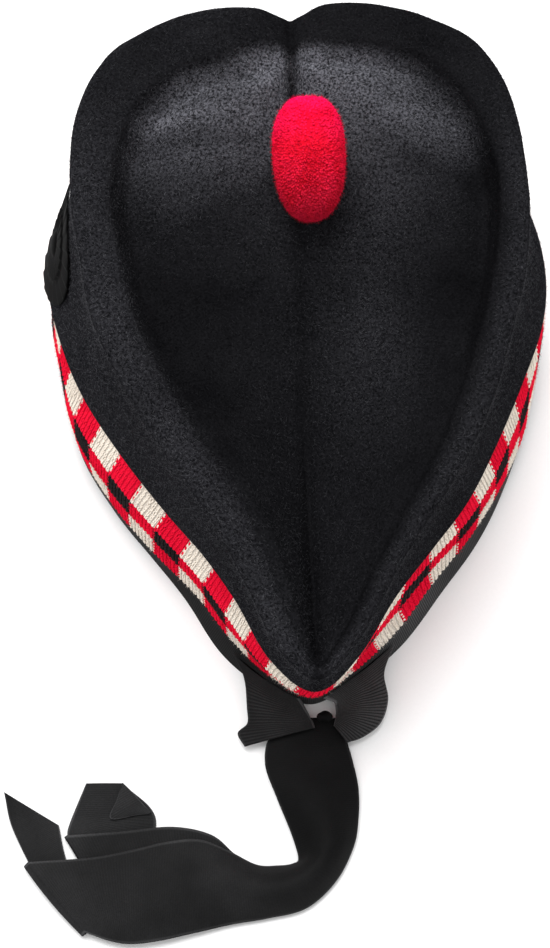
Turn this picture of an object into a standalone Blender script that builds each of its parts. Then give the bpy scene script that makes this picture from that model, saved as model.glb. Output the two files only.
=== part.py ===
"""A diced glengarry: a boat-shaped felt cap with a creased crown, a chequered knitted band, a bound rim,
a cockade, a toorie and two ribbon tails tied behind. Metres, +Z up, the front of the cap towards +Y."""

import math

import bmesh
import bpy
import numpy as np
from mathutils import Matrix, Vector
from mathutils.bvhtree import BVHTree

# Driving sizes of the cap. The plan centre is on the centre line, about midway along the cap. The band's top
# and the ridge are each set in from what is under them.
RIM_HALF_WIDTH = 0.0900
TOP_SET_IN = 0.0035
RIDGE_SET_IN = 0.0133
RIDGE_FRONT_SET_IN = 0.0005
TOP_HALF_WIDTH = RIM_HALF_WIDTH - TOP_SET_IN
RIDGE_HALF_WIDTH = TOP_HALF_WIDTH - RIDGE_SET_IN
REAR_REACH = 0.1025
FRONT_REACH = 0.1090
RIDGE_FRONT_REACH = FRONT_REACH - RIDGE_FRONT_SET_IN
BAND_TOP = 0.0465
RIDGE_HEIGHT = 0.1190
FELT = 0.0024
KNIT = 0.0018
RIBBON = 0.0010
GAP = 0.0004
FLOOR_CLEAR = 0.0003

# The crown: the hollow of its sides, its rolled edge, the groove inside that, the rise of the floor in front
# and the crease along it.
SIDE_HOLLOW = 0.0012
RIDGE_WIDTH = 0.0110
RIDGE_DROP = 0.0030
GROOVE = 0.0085
FLOOR_RISE = 0.0065
CREASE_DROP = 0.0140
CREASE_HEIGHT = RIDGE_HEIGHT - CREASE_DROP
LEAN = 0.0070
LEAN_WIDEN = 0.30

# The band of checks, the binding under it and the felt lip that laps over its top.
BINDING_HEIGHT = 0.0090
LIP = 0.0010
LIP_HEIGHT = 0.0030
BULGE = 0.0040
CHECK_HEIGHT = (BAND_TOP - BINDING_HEIGHT) / 3

# The toorie on the crown.
TOORIE_WIDTH = 0.0230
TOORIE_LENGTH = 0.0368
TOORIE_HEIGHT = 0.0340
TOORIE_X = 0.0035
TOORIE_Y = 0.46 * FRONT_REACH
TOORIE_TILT = 0.0080
TOORIE_FOOT = 0.10
TOORIE_SQUARE = 2.6
TOORIE_FLARE = 0.07
TUFT_DEPTH = 0.0012
TUFTS = 90

# The cockade on the left side.
COCKADE_RADIUS = 0.0205
COCKADE_THICKNESS = 0.0015
COCKADE_LAP = 0.0040
COCKADE_Y = 0.44 * FRONT_REACH
COCKADE_Z = BAND_TOP + COCKADE_RADIUS - COCKADE_LAP
SEAT_REACH = 0.0200
PLEATS = 20

# The ribbons tied behind: the knot's place and the width that their tables are shares of.
RIBBON_WIDTH = 0.0310
KNOT_X = 0.0040
KNOT_BEHIND = 0.0005
KNOT_Y = -REAR_REACH - KNOT_BEHIND
KNOT_SIZE = 0.0056
BOW_RISE = 0.6 * BINDING_HEIGHT
BOW_EASE = 3

# Detail of the solids.
CAP_COLUMNS = 72
BAND_ROWS = 4
WALL_RINGS = BAND_ROWS + 3

# One half of the cap from the rear centre to the front centre. Plan places are shares: x of each half width,
# y of the rear reach where negative and of a front reach where positive. Heights, depths and widths are
# shares of the sizes above. lean moves the left side in, as the worn felt leans there.
STATIONS = (
    # rim_x rim_y  top_x top_y  ridge_x ridge_y ridge_z width groove rise crease_y crease_z lean
    (0.000, -0.966, 0.000, -1.000, 0.000, -1.045, 0.675, 0.36, 0.00, 0.00, -0.961, 0.715, 0.00),
    (0.170, -0.880, 0.162, -0.890, 0.180, -0.935, 0.690, 0.50, 0.00, 0.00, -0.859, 0.665, 0.05),
    (0.345, -0.740, 0.312, -0.693, 0.342, -0.745, 0.720, 0.62, 0.00, 0.00, -0.683, 0.620, 0.50),
    (0.511, -0.566, 0.465, -0.537, 0.505, -0.575, 0.755, 0.75, 0.05, 0.00, -0.507, 0.600, 0.95),
    (0.667, -0.410, 0.613, -0.380, 0.683, -0.390, 0.795, 0.88, 0.15, 0.00, -0.322, 0.620, 1.00),
    (0.800, -0.234, 0.740, -0.185, 0.826, -0.175, 0.840, 0.95, 0.40, 0.05, -0.137, 0.700, 0.60),
    (0.911, -0.029, 0.867, 0.035, 0.929, 0.047, 0.885, 0.95, 0.80, 0.25, 0.055, 0.810, 0.25),
    (0.978, 0.190, 0.971, 0.230, 0.984, 0.226, 0.920, 0.92, 1.00, 0.65, 0.230, 0.910, 0.35),
    (1.000, 0.410, 1.000, 0.413, 1.000, 0.425, 0.950, 0.92, 1.00, 0.95, 0.396, 0.970, 0.15),
    (0.944, 0.606, 0.960, 0.605, 0.956, 0.660, 0.975, 1.20, 0.80, 1.00, 0.530, 0.990, 0.00),
    (0.811, 0.771, 0.844, 0.771, 0.833, 0.835, 0.990, 1.50, 0.60, 1.00, 0.620, 0.995, 0.00),
    (0.622, 0.872, 0.647, 0.899, 0.628, 0.929, 0.998, 1.75, 0.50, 0.85, 0.680, 0.995, 0.00),
    (0.378, 0.945, 0.393, 0.982, 0.410, 0.984, 1.000, 1.85, 0.40, 0.60, 0.722, 0.990, 0.00),
    (0.144, 0.972, 0.150, 1.005, 0.164, 0.998, 0.990, 1.60, 0.35, 0.30, 0.748, 0.980, 0.00),
    (0.000, 0.977, 0.000, 1.009, 0.000, 0.968, 0.970, 1.10, 0.30, 0.10, 0.762, 0.975, 0.00),
)
COLUMNS = (
    "rim_x", "rim_y", "top_x", "top_y", "ridge_x", "ridge_y", "ridge_z",
    "width", "groove", "rise", "crease_y", "crease_z", "lean",
)

# The crown's sides between the felt's lip and the ridge: shares of the way in and up, and of the hollow.
SIDES = ((0.50, 0.34, 1.0), (0.87, 0.74, 0.8))

# The crown's roll: shares of the ridge's width inwards from its outer edge, of its drop and of the groove.
ROLL = (
    (0.00, 1.00, 0.00),
    (0.14, 0.20, 0.00),
    (0.40, 0.00, 0.00),
    (0.68, 0.23, 0.00),
    (0.94, 0.27, 0.00),
    (1.12, 0.60, 0.45),
    (1.42, 0.80, 0.95),
)

# The crown's floor: shares of the way from the roll's foot to the crease, and of the floor's rise.
FLOOR = ((0.20, 0.70), (0.45, 1.00), (0.75, 0.60))

# How far each height of the band has moved from the rim's plan towards the plan of the band's top.
BAND_LEAN = ((0.00, 0.00), (0.20, -0.05), (0.45, 0.00), (0.70, 0.35), (0.86, 0.70), (1.00, 1.00))

# How far the band stands out of that, in shares of BULGE at the heights of the edges of its checks: a row for
# every second station all the way round, from the rear centre by the right side.
BAND_BULGE = (
    # rim foot lower upper
    (-0.40, -0.50, -0.20, 0.45),
    (0.60, -0.42, -1.00, -0.50),
    (0.28, -0.55, -0.58, 0.00),
    (-0.32, -0.45, -0.65, -0.20),
    (0.00, -0.20, -0.20, 0.00),
    (0.00, 0.00, 0.00, 0.00),
    (0.00, 0.00, 0.00, 0.00),
    (0.00, 0.00, 0.00, 0.00),
    (0.00, 0.00, 0.00, 0.00),
    (0.00, 0.00, 0.00, 0.00),
    (-0.20, -0.30, -0.20, -0.35),
    (-0.20, -0.35, -0.15, 0.35),
    (0.35, 0.10, 0.00, 0.55),
    (1.05, -0.25, -0.10, 0.50),
)

# Each ribbon as rulings across it: the left and right edge in ribbon widths from the knot, the height of
# each edge in ribbon layers, and how high the middle arches, in ribbon widths.
TAIL_FRONT = (
    # left_x left_y left_z right_x right_y right_z arch
    (-0.26, 0.02, 1.0, 0.16, 0.00, 1.0, 0.00),
    (-0.60, -0.16, 1.0, 0.22, -0.20, 1.0, 0.00),
    (-0.68, -0.48, 1.0, 0.29, -0.50, 1.0, 0.04),
    (-0.56, -0.86, 1.0, 0.33, -0.80, 1.0, 0.15),
    (-0.42, -1.24, 1.0, 0.31, -1.12, 1.0, 0.24),
    (-0.35, -1.52, 1.0, 0.24, -1.42, 1.0, 0.29),
    (-0.42, -1.585, 1.0, 0.03, -1.78, 1.0, 0.28),
    (-0.58, -1.60, 1.0, -0.30, -2.05, 1.0, 0.26),
    (-0.82, -1.58, 1.0, -0.72, -2.14, 1.0, 0.24),
    (-1.12, -1.42, 1.6, -1.10, -2.19, 1.0, 0.15),
    (-1.42, -1.29, 2.2, -1.50, -2.27, 1.6, 0.06),
    (-1.78, -1.30, 2.3, -1.88, -2.34, 2.1, 0.04),
    (-2.20, -1.38, 2.3, -2.18, -2.36, 2.1, 0.05),
    (-2.62, -1.44, 2.5, -2.40, -2.32, 2.1, 0.06),
    (-3.28, -1.46, 2.5, -2.66, -2.22, 2.1, 0.05),
)
TAIL_BACK = (
    (-0.22, 0.00, 0.0, 0.12, -0.02, 0.0, 0.00),
    (-0.54, -0.18, 0.0, 0.16, -0.22, 0.0, 0.00),
    (-0.62, -0.50, 0.0, 0.22, -0.52, 0.0, 0.00),
    (-0.48, -0.88, 0.0, 0.24, -0.82, 0.0, 0.08),
    (-0.33, -1.24, 0.0, 0.22, -1.14, 0.0, 0.16),
    (-0.26, -1.50, 0.0, 0.14, -1.42, 0.0, 0.20),
    (-0.36, -1.66, 0.0, -0.06, -1.74, 0.0, 0.19),
    (-0.60, -1.68, 0.0, -0.36, -1.98, 0.0, 0.17),
    (-0.84, -1.62, 0.0, -0.76, -2.06, 0.0, 0.15),
    (-1.06, -1.44, 0.0, -1.12, -2.10, 0.0, 0.08),
    (-1.30, -1.23, 0.7, -1.36, -2.12, 0.0, 0.02),
    (-1.72, -1.13, 1.0, -1.60, -2.12, 0.6, 0.00),
    (-2.30, -1.16, 1.0, -1.98, -2.12, 1.0, 0.00),
    (-2.87, -1.18, 1.2, -2.30, -2.14, 1.0, 0.00),
)
# Beyond the diagonal fold each tail runs back under itself towards +Y, from the fold to its cut end.
RETURN_FRONT = (
    (-3.28, -1.46, 0.0, -2.66, -2.22, 0.0, 0.00),
    (-3.36, -1.30, 0.3, -2.80, -1.70, 0.0, 0.00),
    (-3.48, -1.02, 1.6, -2.90, -1.36, 0.0, -0.01),
    (-3.54, -0.70, 4.0, -2.96, -1.06, 0.2, -0.03),
)
RETURN_BACK = (
    (-2.87, -1.18, 0.2, -2.30, -2.14, 0.0, 0.00),
    (-2.86, -1.10, 0.1, -2.10, -1.62, 0.0, 0.00),
    (-2.80, -0.94, 0.3, -1.90, -1.03, 0.0, 0.00),
    (-2.65, -0.63, 2.4, -2.25, -0.64, 2.0, 0.01),
)
BOW_LEFT = (
    (-1.04, 0.75, 3.6, -0.30, 0.16, 3.6, 0.00),
    (-0.90, 0.47, 3.2, -0.22, 0.06, 3.2, 0.01),
    (-0.86, 0.16, 2.4, -0.16, 0.00, 2.4, 0.04),
    (-0.86, -0.03, 2.1, -0.13, -0.05, 2.1, 0.04),
    (-0.97, -0.14, 2.1, -0.12, -0.08, 2.1, 0.03),
    (-0.90, -0.29, 2.1, -0.11, -0.11, 2.1, 0.02),
)
BOW_RIGHT = (
    (0.04, 0.16, 3.6, 0.84, 0.80, 3.6, 0.00),
    (0.14, 0.13, 3.2, 0.70, 0.48, 3.2, 0.02),
    (0.14, 0.08, 2.4, 0.72, 0.18, 2.8, 0.05),
    (0.13, 0.03, 2.1, 0.62, -0.08, 2.4, 0.06),
    (0.12, -0.02, 2.1, 0.42, -0.23, 2.1, 0.04),
    (0.10, -0.10, 2.1, 0.23, -0.29, 2.1, 0.02),
)


def catmull(values, at, closed):
    """Values at even steps, read between them on a smooth curve through all of them."""
    values = np.asarray(values, float)
    at = np.asarray(at, float)
    count = len(values)
    i = np.floor(at).astype(int)
    if not closed:
        i = np.clip(i, 0, count - 2)
    f = at - i
    f = f.reshape(f.shape + (1,) * (values.ndim - 1))
    if closed:
        p = [values[(i + k) % count] for k in (-1, 0, 1, 2)]
    else:
        ends = np.concatenate([[2 * values[0] - values[1]], values, [2 * values[-1] - values[-2]]])
        p = [ends[i + k] for k in (0, 1, 2, 3)]
    return 0.5 * (
        2 * p[1]
        + (p[2] - p[0]) * f
        + (2 * p[0] - 5 * p[1] + 4 * p[2] - p[3]) * f**2
        + (3 * p[1] - p[0] - 3 * p[2] + p[3]) * f**3
    )


def station_loop():
    """The stations all the way round, from the rear centre by the right side, as named columns in metres."""
    table = np.array(STATIONS)
    loop = np.concatenate([table, table[-2:0:-1]])
    left = np.arange(len(loop)) >= len(table)
    side = np.where(left, -1.0, 1.0)
    col = {name: loop[:, i] for i, name in enumerate(COLUMNS)}
    lean = np.where(left, col["lean"], 0.0)

    def plan_x(share, half_width):
        return side * share * half_width + lean * LEAN

    def plan_y(share, front):
        return np.where(share < 0, share * REAR_REACH, share * front)

    return {
        "rim_x": plan_x(col["rim_x"], RIM_HALF_WIDTH),
        "rim_y": plan_y(col["rim_y"], FRONT_REACH),
        "top_x": plan_x(col["top_x"], TOP_HALF_WIDTH),
        "top_y": plan_y(col["top_y"], FRONT_REACH),
        "ridge_x": plan_x(col["ridge_x"], RIDGE_HALF_WIDTH),
        "ridge_y": plan_y(col["ridge_y"], RIDGE_FRONT_REACH),
        "ridge_z": col["ridge_z"] * RIDGE_HEIGHT,
        "width": col["width"] * RIDGE_WIDTH * np.where(left, 1 + LEAN_WIDEN, 1.0),
        "groove": col["groove"] * GROOVE,
        "rise": col["rise"] * FLOOR_RISE,
        "crease_y": plan_y(col["crease_y"], RIDGE_FRONT_REACH),
        "crease_z": col["crease_z"] * CREASE_HEIGHT,
    }


def places(columns):
    """Station numbers of columns evenly spaced along the band's top, the same on both sides."""
    loop = station_loop()
    half = len(STATIONS) - 1
    fine = np.linspace(0, half, 1001)
    x, y = (catmull(loop[name], fine, True) for name in ("top_x", "top_y"))
    run = np.concatenate([[0], np.cumsum(np.hypot(np.diff(x), np.diff(y)))])
    share = np.arange(columns) / columns * 2
    right = np.interp(np.minimum(share, 2 - share) * run[-1], run, fine)
    return np.where(share <= 1, right, 2 * half - right)


def sections(at):
    """Named columns of the cap's stations at the given station numbers."""
    cut = {name: catmull(values, at, True) for name, values in station_loop().items()}
    cut["bulge"] = catmull(BAND_BULGE, np.asarray(at) / 2, True) * BULGE
    return cut


def band_bulge(cut, height):
    """How far the band stands out at a height, in each section."""
    heights = [0.0, *(BINDING_HEIGHT + k * CHECK_HEIGHT for k in range(3)), BAND_TOP - LIP_HEIGHT]
    rows = np.concatenate([cut["bulge"].T, np.zeros((1, len(cut["rim_x"])))])
    below = int(np.clip(np.searchsorted(heights, height, side="right") - 1, 0, len(heights) - 2))
    share = min((height - heights[below]) / (heights[below + 1] - heights[below]), 1.0)
    return rows[below] * (1 - share) + rows[below + 1] * share


def outward(ring):
    """Level unit vectors pointing out of a closed ring of points that runs anticlockwise from above."""
    run = np.roll(ring, -1, axis=0) - np.roll(ring, 1, axis=0)
    out = np.stack([run[:, 1], -run[:, 0], np.zeros(len(run))], 1)
    return out / np.linalg.norm(out, axis=1)[:, None]


def band_ring(cut, height, out):
    """The ring of the band's outer face at a height, moved outwards by out."""
    share = height / BAND_TOP
    shares, leans = zip(*BAND_LEAN)
    lean = float(np.interp(share, shares, leans))
    x = cut["rim_x"] + (cut["top_x"] - cut["rim_x"]) * lean
    y = cut["rim_y"] + (cut["top_y"] - cut["rim_y"]) * lean
    ring = np.stack([x, y, np.full(len(x), height)], 1)
    return ring + outward(ring) * (band_bulge(cut, height) + out)[:, None]


def band_heights():
    """The heights of the band's rows, from just over the binding to just under the felt's lip."""
    return np.linspace(BINDING_HEIGHT + GAP, BAND_TOP - LIP_HEIGHT - GAP, BAND_ROWS)


def cap_rings(cut):
    """Rings of the felt's outer face, from the rim up, over the ridge and in to the crease."""
    rings = [band_ring(cut, RIBBON + GAP, -(RIBBON + GAP))]
    rings += [band_ring(cut, z, -(KNIT + GAP)) for z in band_heights()]
    rings += [
        band_ring(cut, BAND_TOP - LIP_HEIGHT + GAP, 0.3 * LIP),
        band_ring(cut, BAND_TOP, LIP),
    ]
    lip = rings[-1]
    up = np.array([0, 0, 1.0])
    ridge = np.stack([cut["ridge_x"], cut["ridge_y"], cut["ridge_z"]], 1)
    crease = np.stack([np.zeros(len(ridge)), cut["crease_y"], cut["crease_z"]], 1)
    level = (crease - ridge) * (1, 1, 0)
    reach = np.linalg.norm(level, axis=1)[:, None]
    inward = level / reach
    width = np.minimum(cut["width"][:, None], 0.5 * reach)
    groove = cut["groove"][:, None]
    rise = cut["rise"][:, None]

    for level_share, up_share, hollow in SIDES:
        way = (ridge - lip) * (level_share, level_share, up_share)
        rings.append(lip + way - outward(lip) * hollow * SIDE_HOLLOW)
    for share, drop, sink in ROLL:
        rings.append(ridge + inward * share * width - up * (drop * RIDGE_DROP + sink * groove))
    foot = rings[-1]
    for share, lift in FLOOR:
        rings.append(foot + (crease - foot) * share + up * rise * lift)
    rings.append(crease)
    return np.array(rings)


def grid_normals(rings):
    """Unit normals of a grid of rings closed round its columns, pointing out of the cap."""
    across = np.roll(rings, -1, axis=1) - np.roll(rings, 1, axis=1)
    along = np.gradient(rings, axis=0)
    normal = np.cross(across, along)
    return normal / np.maximum(np.linalg.norm(normal, axis=2), 1e-12)[:, :, None]


def cap_lining(rings, cut):
    """The felt's inner face: each ring of the outer face moved in by the felt's thickness."""
    narrow = np.minimum(cut["width"], np.roll(cut["width"][::-1], 1))
    thick = np.minimum(FELT, 0.42 * narrow)[:, None]
    normal = grid_normals(rings)
    inner = rings - normal * thick
    wall = slice(0, WALL_RINGS)
    level = np.array([outward(ring) for ring in rings[wall]])
    face = np.array([band_ring(cut, z, 0.0) for z in rings[wall, 0, 2]])
    inner[wall] = face - level * (KNIT + GAP + FELT)
    inner[-1] = rings[-1] - np.array([0, 0, 1.0]) * thick
    return inner


def cap_solid():
    """The felt's outer and inner rings as one loop of rings, crease to crease by the rim."""
    cut = sections(places(CAP_COLUMNS))
    outer = cap_rings(cut)
    return np.concatenate([outer[::-1], cap_lining(outer, cut)])


def band_solid():
    """The knitted band: rings up its outer face and down its inner face."""
    cut = sections(places(CAP_COLUMNS))
    heights = band_heights()
    outer = [band_ring(cut, z, 0.0) for z in heights]
    inner = [band_ring(cut, z, -KNIT) for z in heights[::-1]]
    return np.array(outer + inner)


def binding_solid():
    """The binding: a ribbon folded round the felt's lower edge, open at the top."""
    cut = sections(places(CAP_COLUMNS))
    groove = -(RIBBON + GAP)
    inner = -(KNIT + GAP + FELT + GAP)
    bulge = 0.3 * RIBBON
    outline = (
        (0.0, -bulge),
        (bulge, 0.0),
        (BINDING_HEIGHT, 0.0),
        (BINDING_HEIGHT, -RIBBON),
        (RIBBON + 0.5 * GAP, -RIBBON),
        (RIBBON + 0.5 * GAP, inner),
        (BINDING_HEIGHT, inner),
        (BINDING_HEIGHT, inner - RIBBON),
        (bulge, inner - RIBBON),
        (0.0, inner - RIBBON + bulge),
    )
    return np.array([band_ring(cut, z, out) for z, out in outline])


def toorie_point(unit, tufts):
    """A point of the toorie for a point of a unit sphere: an egg with blunt ends, narrower below and behind,
    covered in ends of tufts."""
    height = max((1 + unit.z) / 2, TOORIE_FOOT)
    taper = 0.66 + 0.34 * math.sin(0.5 * math.pi * min(height * 1.5, 1.0))
    level = max(math.hypot(unit.x, unit.y), 1e-9)
    turn = math.atan2(unit.y, unit.x)
    across, along = math.cos(turn), math.sin(turn)
    square = (abs(across) ** TOORIE_SQUARE + abs(along) ** TOORIE_SQUARE) ** (-1 / TOORIE_SQUARE)
    spread = taper * square * level**-0.2
    near = max(unit.dot(tuft) for tuft in tufts)
    bump = TUFT_DEPTH * max((near - 1) * TUFTS / 2.4, -1.5)
    return Vector((
        TOORIE_X + spread * unit.x * (TOORIE_WIDTH / 2 + bump) * (1 + TOORIE_FLARE * along),
        TOORIE_Y + spread * unit.y * (TOORIE_LENGTH / 2 + bump) + (height - 0.75) * TOORIE_TILT,
        RIDGE_HEIGHT + (height - TOORIE_FOOT) * TOORIE_HEIGHT + bump * max(unit.z, 0.0),
    ))


def tuft_ends():
    """Even directions over a sphere, one for each tuft of the toorie."""
    turn = math.pi * (3 - math.sqrt(5))
    ends = []
    for k in range(TUFTS):
        z = 1 - 2 * (k + 0.5) / TUFTS
        level = math.sqrt(1 - z * z)
        ends.append(Vector((level * math.cos(k * turn), level * math.sin(k * turn), z)))
    return ends


def cockade_frame():
    """The middle of the cockade's back, and its axes: along the cap, up the cap and outwards."""
    cut = sections(places(CAP_COLUMNS))
    rings = cap_rings(cut)
    lip, upper = rings[WALL_RINGS - 1], rings[WALL_RINGS + 1]
    left = np.arange(CAP_COLUMNS) > CAP_COLUMNS // 2
    at = int(np.argmin(np.abs(lip[:, 1] - COCKADE_Y) + np.where(left, 0.0, 1.0)))
    share = (COCKADE_Z - lip[at, 2]) / (upper[at, 2] - lip[at, 2])
    middle = lip[at] + (upper[at] - lip[at]) * share
    along = lip[at - 1] - lip[at + 1]
    along = along / np.linalg.norm(along) * 0.55 + np.array([0, 1.0, 0]) * 0.45
    along /= np.linalg.norm(along)
    rise = upper[at] - lip[at]
    rise /= np.linalg.norm(rise)
    out = np.cross(rise, along)
    out /= np.linalg.norm(out)
    return middle, along, np.cross(along, out), out


def cockade_bend(supports):
    """How far the side of the cap stands out of the cockade's plane, as a smooth function of places on it."""
    middle, along, rise, out = cockade_frame()
    trees = [surface_tree(obj) for obj in supports]
    steps = np.linspace(-COCKADE_RADIUS, COCKADE_RADIUS, 9)
    places_on_it = [(a, b) for a in steps for b in steps if math.hypot(a, b) <= COCKADE_RADIUS]
    stands = []
    for a, b in places_on_it:
        start = Vector(middle + a * along + b * rise + SEAT_REACH * out)
        hits = [tree.ray_cast(start, -Vector(out))[3] for tree in trees]
        stands.append(SEAT_REACH - min(hit for hit in hits if hit is not None))

    def terms(a, b):
        return np.stack([np.ones_like(a), a, b, a * a, a * b, b * b], -1)

    a, b = np.array(places_on_it).T
    fit = np.linalg.lstsq(terms(a, b), np.array(stands), rcond=None)[0]
    return lambda a, b: terms(a, b) @ fit


def cockade_rings(rows, columns, bend):
    """Rings of the cockade from the middle of its back, round its edge, to the middle of its front."""
    middle, along, rise, out = cockade_frame()
    round_it = np.linspace(0, 2 * math.pi, columns, endpoint=False)
    share = np.concatenate([np.linspace(0.02, 1, rows), np.linspace(1, 0.02, rows)])[:, None]
    front = (np.arange(2 * rows) >= rows)[:, None]
    pleat = 0.28 * np.cos(PLEATS * round_it) * np.clip((share - 0.3) / 0.4, 0, 1)
    crown = np.where(share < 0.3, 1.25, 0.85 - 0.25 * share)
    depth = COCKADE_THICKNESS * np.where(front, crown + pleat, 0.0)
    reach = COCKADE_RADIUS * share * (1 + 0.02 * np.cos(PLEATS * round_it))
    a, b = reach * np.cos(round_it), reach * np.sin(round_it)
    return (
        middle
        + a[:, :, None] * along
        + b[:, :, None] * rise
        + (depth + bend(a, b))[:, :, None] * out
    )


def rulings(table, steps, across):
    """Rows of points across a ribbon's middle face, read from a table of rulings."""
    layer = RIBBON + GAP
    table = np.array(table)
    at = np.linspace(0, len(table) - 1, steps * (len(table) - 1) + 1)
    rule = catmull(table, at, False)
    corner = np.array([KNOT_X, KNOT_Y, FLOOR_CLEAR + 0.5 * RIBBON])
    unit = np.array([RIBBON_WIDTH, RIBBON_WIDTH, layer])
    left = corner + rule[:, 0:3] * unit
    right = corner + rule[:, 3:6] * unit
    share = np.linspace(0, 1, across)[None, :, None]
    rows = left[:, None] * (1 - share) + right[:, None] * share
    rows[:, :, 2] += rule[:, 6:7] * RIBBON_WIDTH * 4 * share[:, :, 0] * (1 - share[:, :, 0])
    return rows


def bow_rows(table, steps, across):
    """Rows of points across a ribbon of the bow, its first row laid along the outside of the binding."""
    rows = rulings(table, steps, across)
    rim = band_ring(sections(places(4 * CAP_COLUMNS)), BOW_RISE, GAP)
    shift = np.array([rim[np.argmin(np.hypot(*(rim - point)[:, :2].T))] for point in rows[0]]) - rows[0]
    shift[:, 2] = 0.0
    for r in range(BOW_EASE * steps):
        rows[r] += shift * (1 - r / (BOW_EASE * steps))
    return rows


def folded(run, back, steps):
    """A run of rows and the rows that lie under it, joined by a roll along the fold between them."""
    top, low = run[-1], back[0]
    line = top[-1] - top[0]
    away = np.array([line[1], -line[0], 0.0]) / math.hypot(line[0], line[1])
    if away @ (top[0] - run[-2][0]) < 0:
        away = -away
    radius = 0.5 * (top[:, 2] - low[:, 2])
    roll = []
    for turn in np.linspace(0, math.pi, steps + 2)[1:-1]:
        row = top + away * (radius * math.sin(turn))[:, None]
        row[:, 2] = low[:, 2] + radius * (1 + math.cos(turn))
        roll.append(row)
    return np.concatenate([run, roll, back])


def clear_scene():
    for obj in list(bpy.data.objects):
        bpy.data.objects.remove(obj)


def material(name, colour, roughness):
    made = bpy.data.materials.new(name)
    made.use_nodes = True
    shader = made.node_tree.nodes["Principled BSDF"]
    shader.inputs["Base Color"].default_value = (*colour, 1.0)
    shader.inputs["Roughness"].default_value = roughness
    return made


def add_object(name, mesh, slot, folder):
    """Make the mesh an object, with its faces turned outwards and pieces of it that meet joined."""
    bmesh.ops.remove_doubles(mesh, verts=mesh.verts, dist=0.00002)
    bmesh.ops.recalc_face_normals(mesh, faces=mesh.faces)
    made = bpy.data.meshes.new(name)
    mesh.to_mesh(made)
    mesh.free()
    made.materials.append(slot)
    made.shade_smooth()
    obj = bpy.data.objects.new(name, made)
    folder.objects.link(obj)
    return obj


def grid_faces(mesh, verts, wrap_rows, wrap_columns):
    """Faces between neighbouring rows and columns of a grid of vertices."""
    rows, columns = len(verts), len(verts[0])
    for r in range(rows if wrap_rows else rows - 1):
        for c in range(columns if wrap_columns else columns - 1):
            s, d = (r + 1) % rows, (c + 1) % columns
            mesh.faces.new((verts[r][c], verts[r][d], verts[s][d], verts[s][c]))


def loft(rings, wrap_rows, capped):
    """A mesh through closed rings of points, joined end to end or closed with a face at both ends."""
    mesh = bmesh.new()
    verts = [[mesh.verts.new(point) for point in ring] for ring in rings]
    grid_faces(mesh, verts, wrap_rows, True)
    if capped:
        mesh.faces.new(verts[0])
        mesh.faces.new(verts[-1])
    return mesh


def ribbon_sheet(rows):
    """An open mesh through rows of points across a ribbon."""
    mesh = bmesh.new()
    grid_faces(mesh, [[mesh.verts.new(point) for point in row] for row in rows], False, False)
    return mesh


def add_wall(obj, thickness):
    """Give an open surface its thickness, half to each side."""
    wall = obj.modifiers.new("wall", "SOLIDIFY")
    wall.thickness = thickness
    wall.offset = 0.0


def toorie_mesh():
    """A sphere drawn into the toorie's egg."""
    mesh = bmesh.new()
    bmesh.ops.create_uvsphere(mesh, u_segments=22, v_segments=12, radius=1.0)
    tufts = tuft_ends()
    for vert in mesh.verts:
        vert.co = toorie_point(vert.co, tufts)
    return mesh


def knot_mesh():
    """A small flattened ball where the ribbons are tied, on top of the tails."""
    mesh = bmesh.new()
    bmesh.ops.create_uvsphere(mesh, u_segments=16, v_segments=8, radius=KNOT_SIZE / 2)
    lift = FLOOR_CLEAR + 2 * (RIBBON + GAP) + 0.375 * KNOT_SIZE
    for vert in mesh.verts:
        vert.co.y *= 0.70
        vert.co.z *= 0.75
        vert.co += Vector((KNOT_X, KNOT_Y, lift))
    return mesh


def surface_tree(obj):
    """The faces of an object, ready for rays to be cast at them."""
    return BVHTree.FromPolygons(
        [vert.co for vert in obj.data.vertices], [face.vertices for face in obj.data.polygons]
    )


def seat(obj, supports, toward):
    """Move a piece straight towards its supports until the narrowest gap between them is GAP."""
    trees = [surface_tree(support) for support in supports]
    gaps = []
    for vert in obj.data.vertices:
        for tree in trees:
            distance = tree.ray_cast(vert.co - toward * SEAT_REACH, toward)[3]
            if distance is not None:
                gaps.append(distance - SEAT_REACH)
    obj.data.transform(Matrix.Translation(toward * (min(gaps) - GAP)))


def evaluated_points(objects):
    """The places of all the corners of the objects, with their modifiers."""
    graph = bpy.context.evaluated_depsgraph_get()
    return [
        obj.matrix_world @ vert.co
        for obj in objects
        for vert in obj.evaluated_get(graph).data.vertices
    ]


def rest_on_floor(objects):
    """Move everything so that the middle of the whole is over the origin, and its lowest point at z = 0."""
    points = evaluated_points(objects)
    low = [min(p[i] for p in points) for i in range(3)]
    high = [max(p[i] for p in points) for i in range(3)]
    shift = Matrix.Translation((-(low[0] + high[0]) / 2, -(low[1] + high[1]) / 2, -low[2]))
    for obj in objects:
        obj.data.transform(shift)


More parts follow.
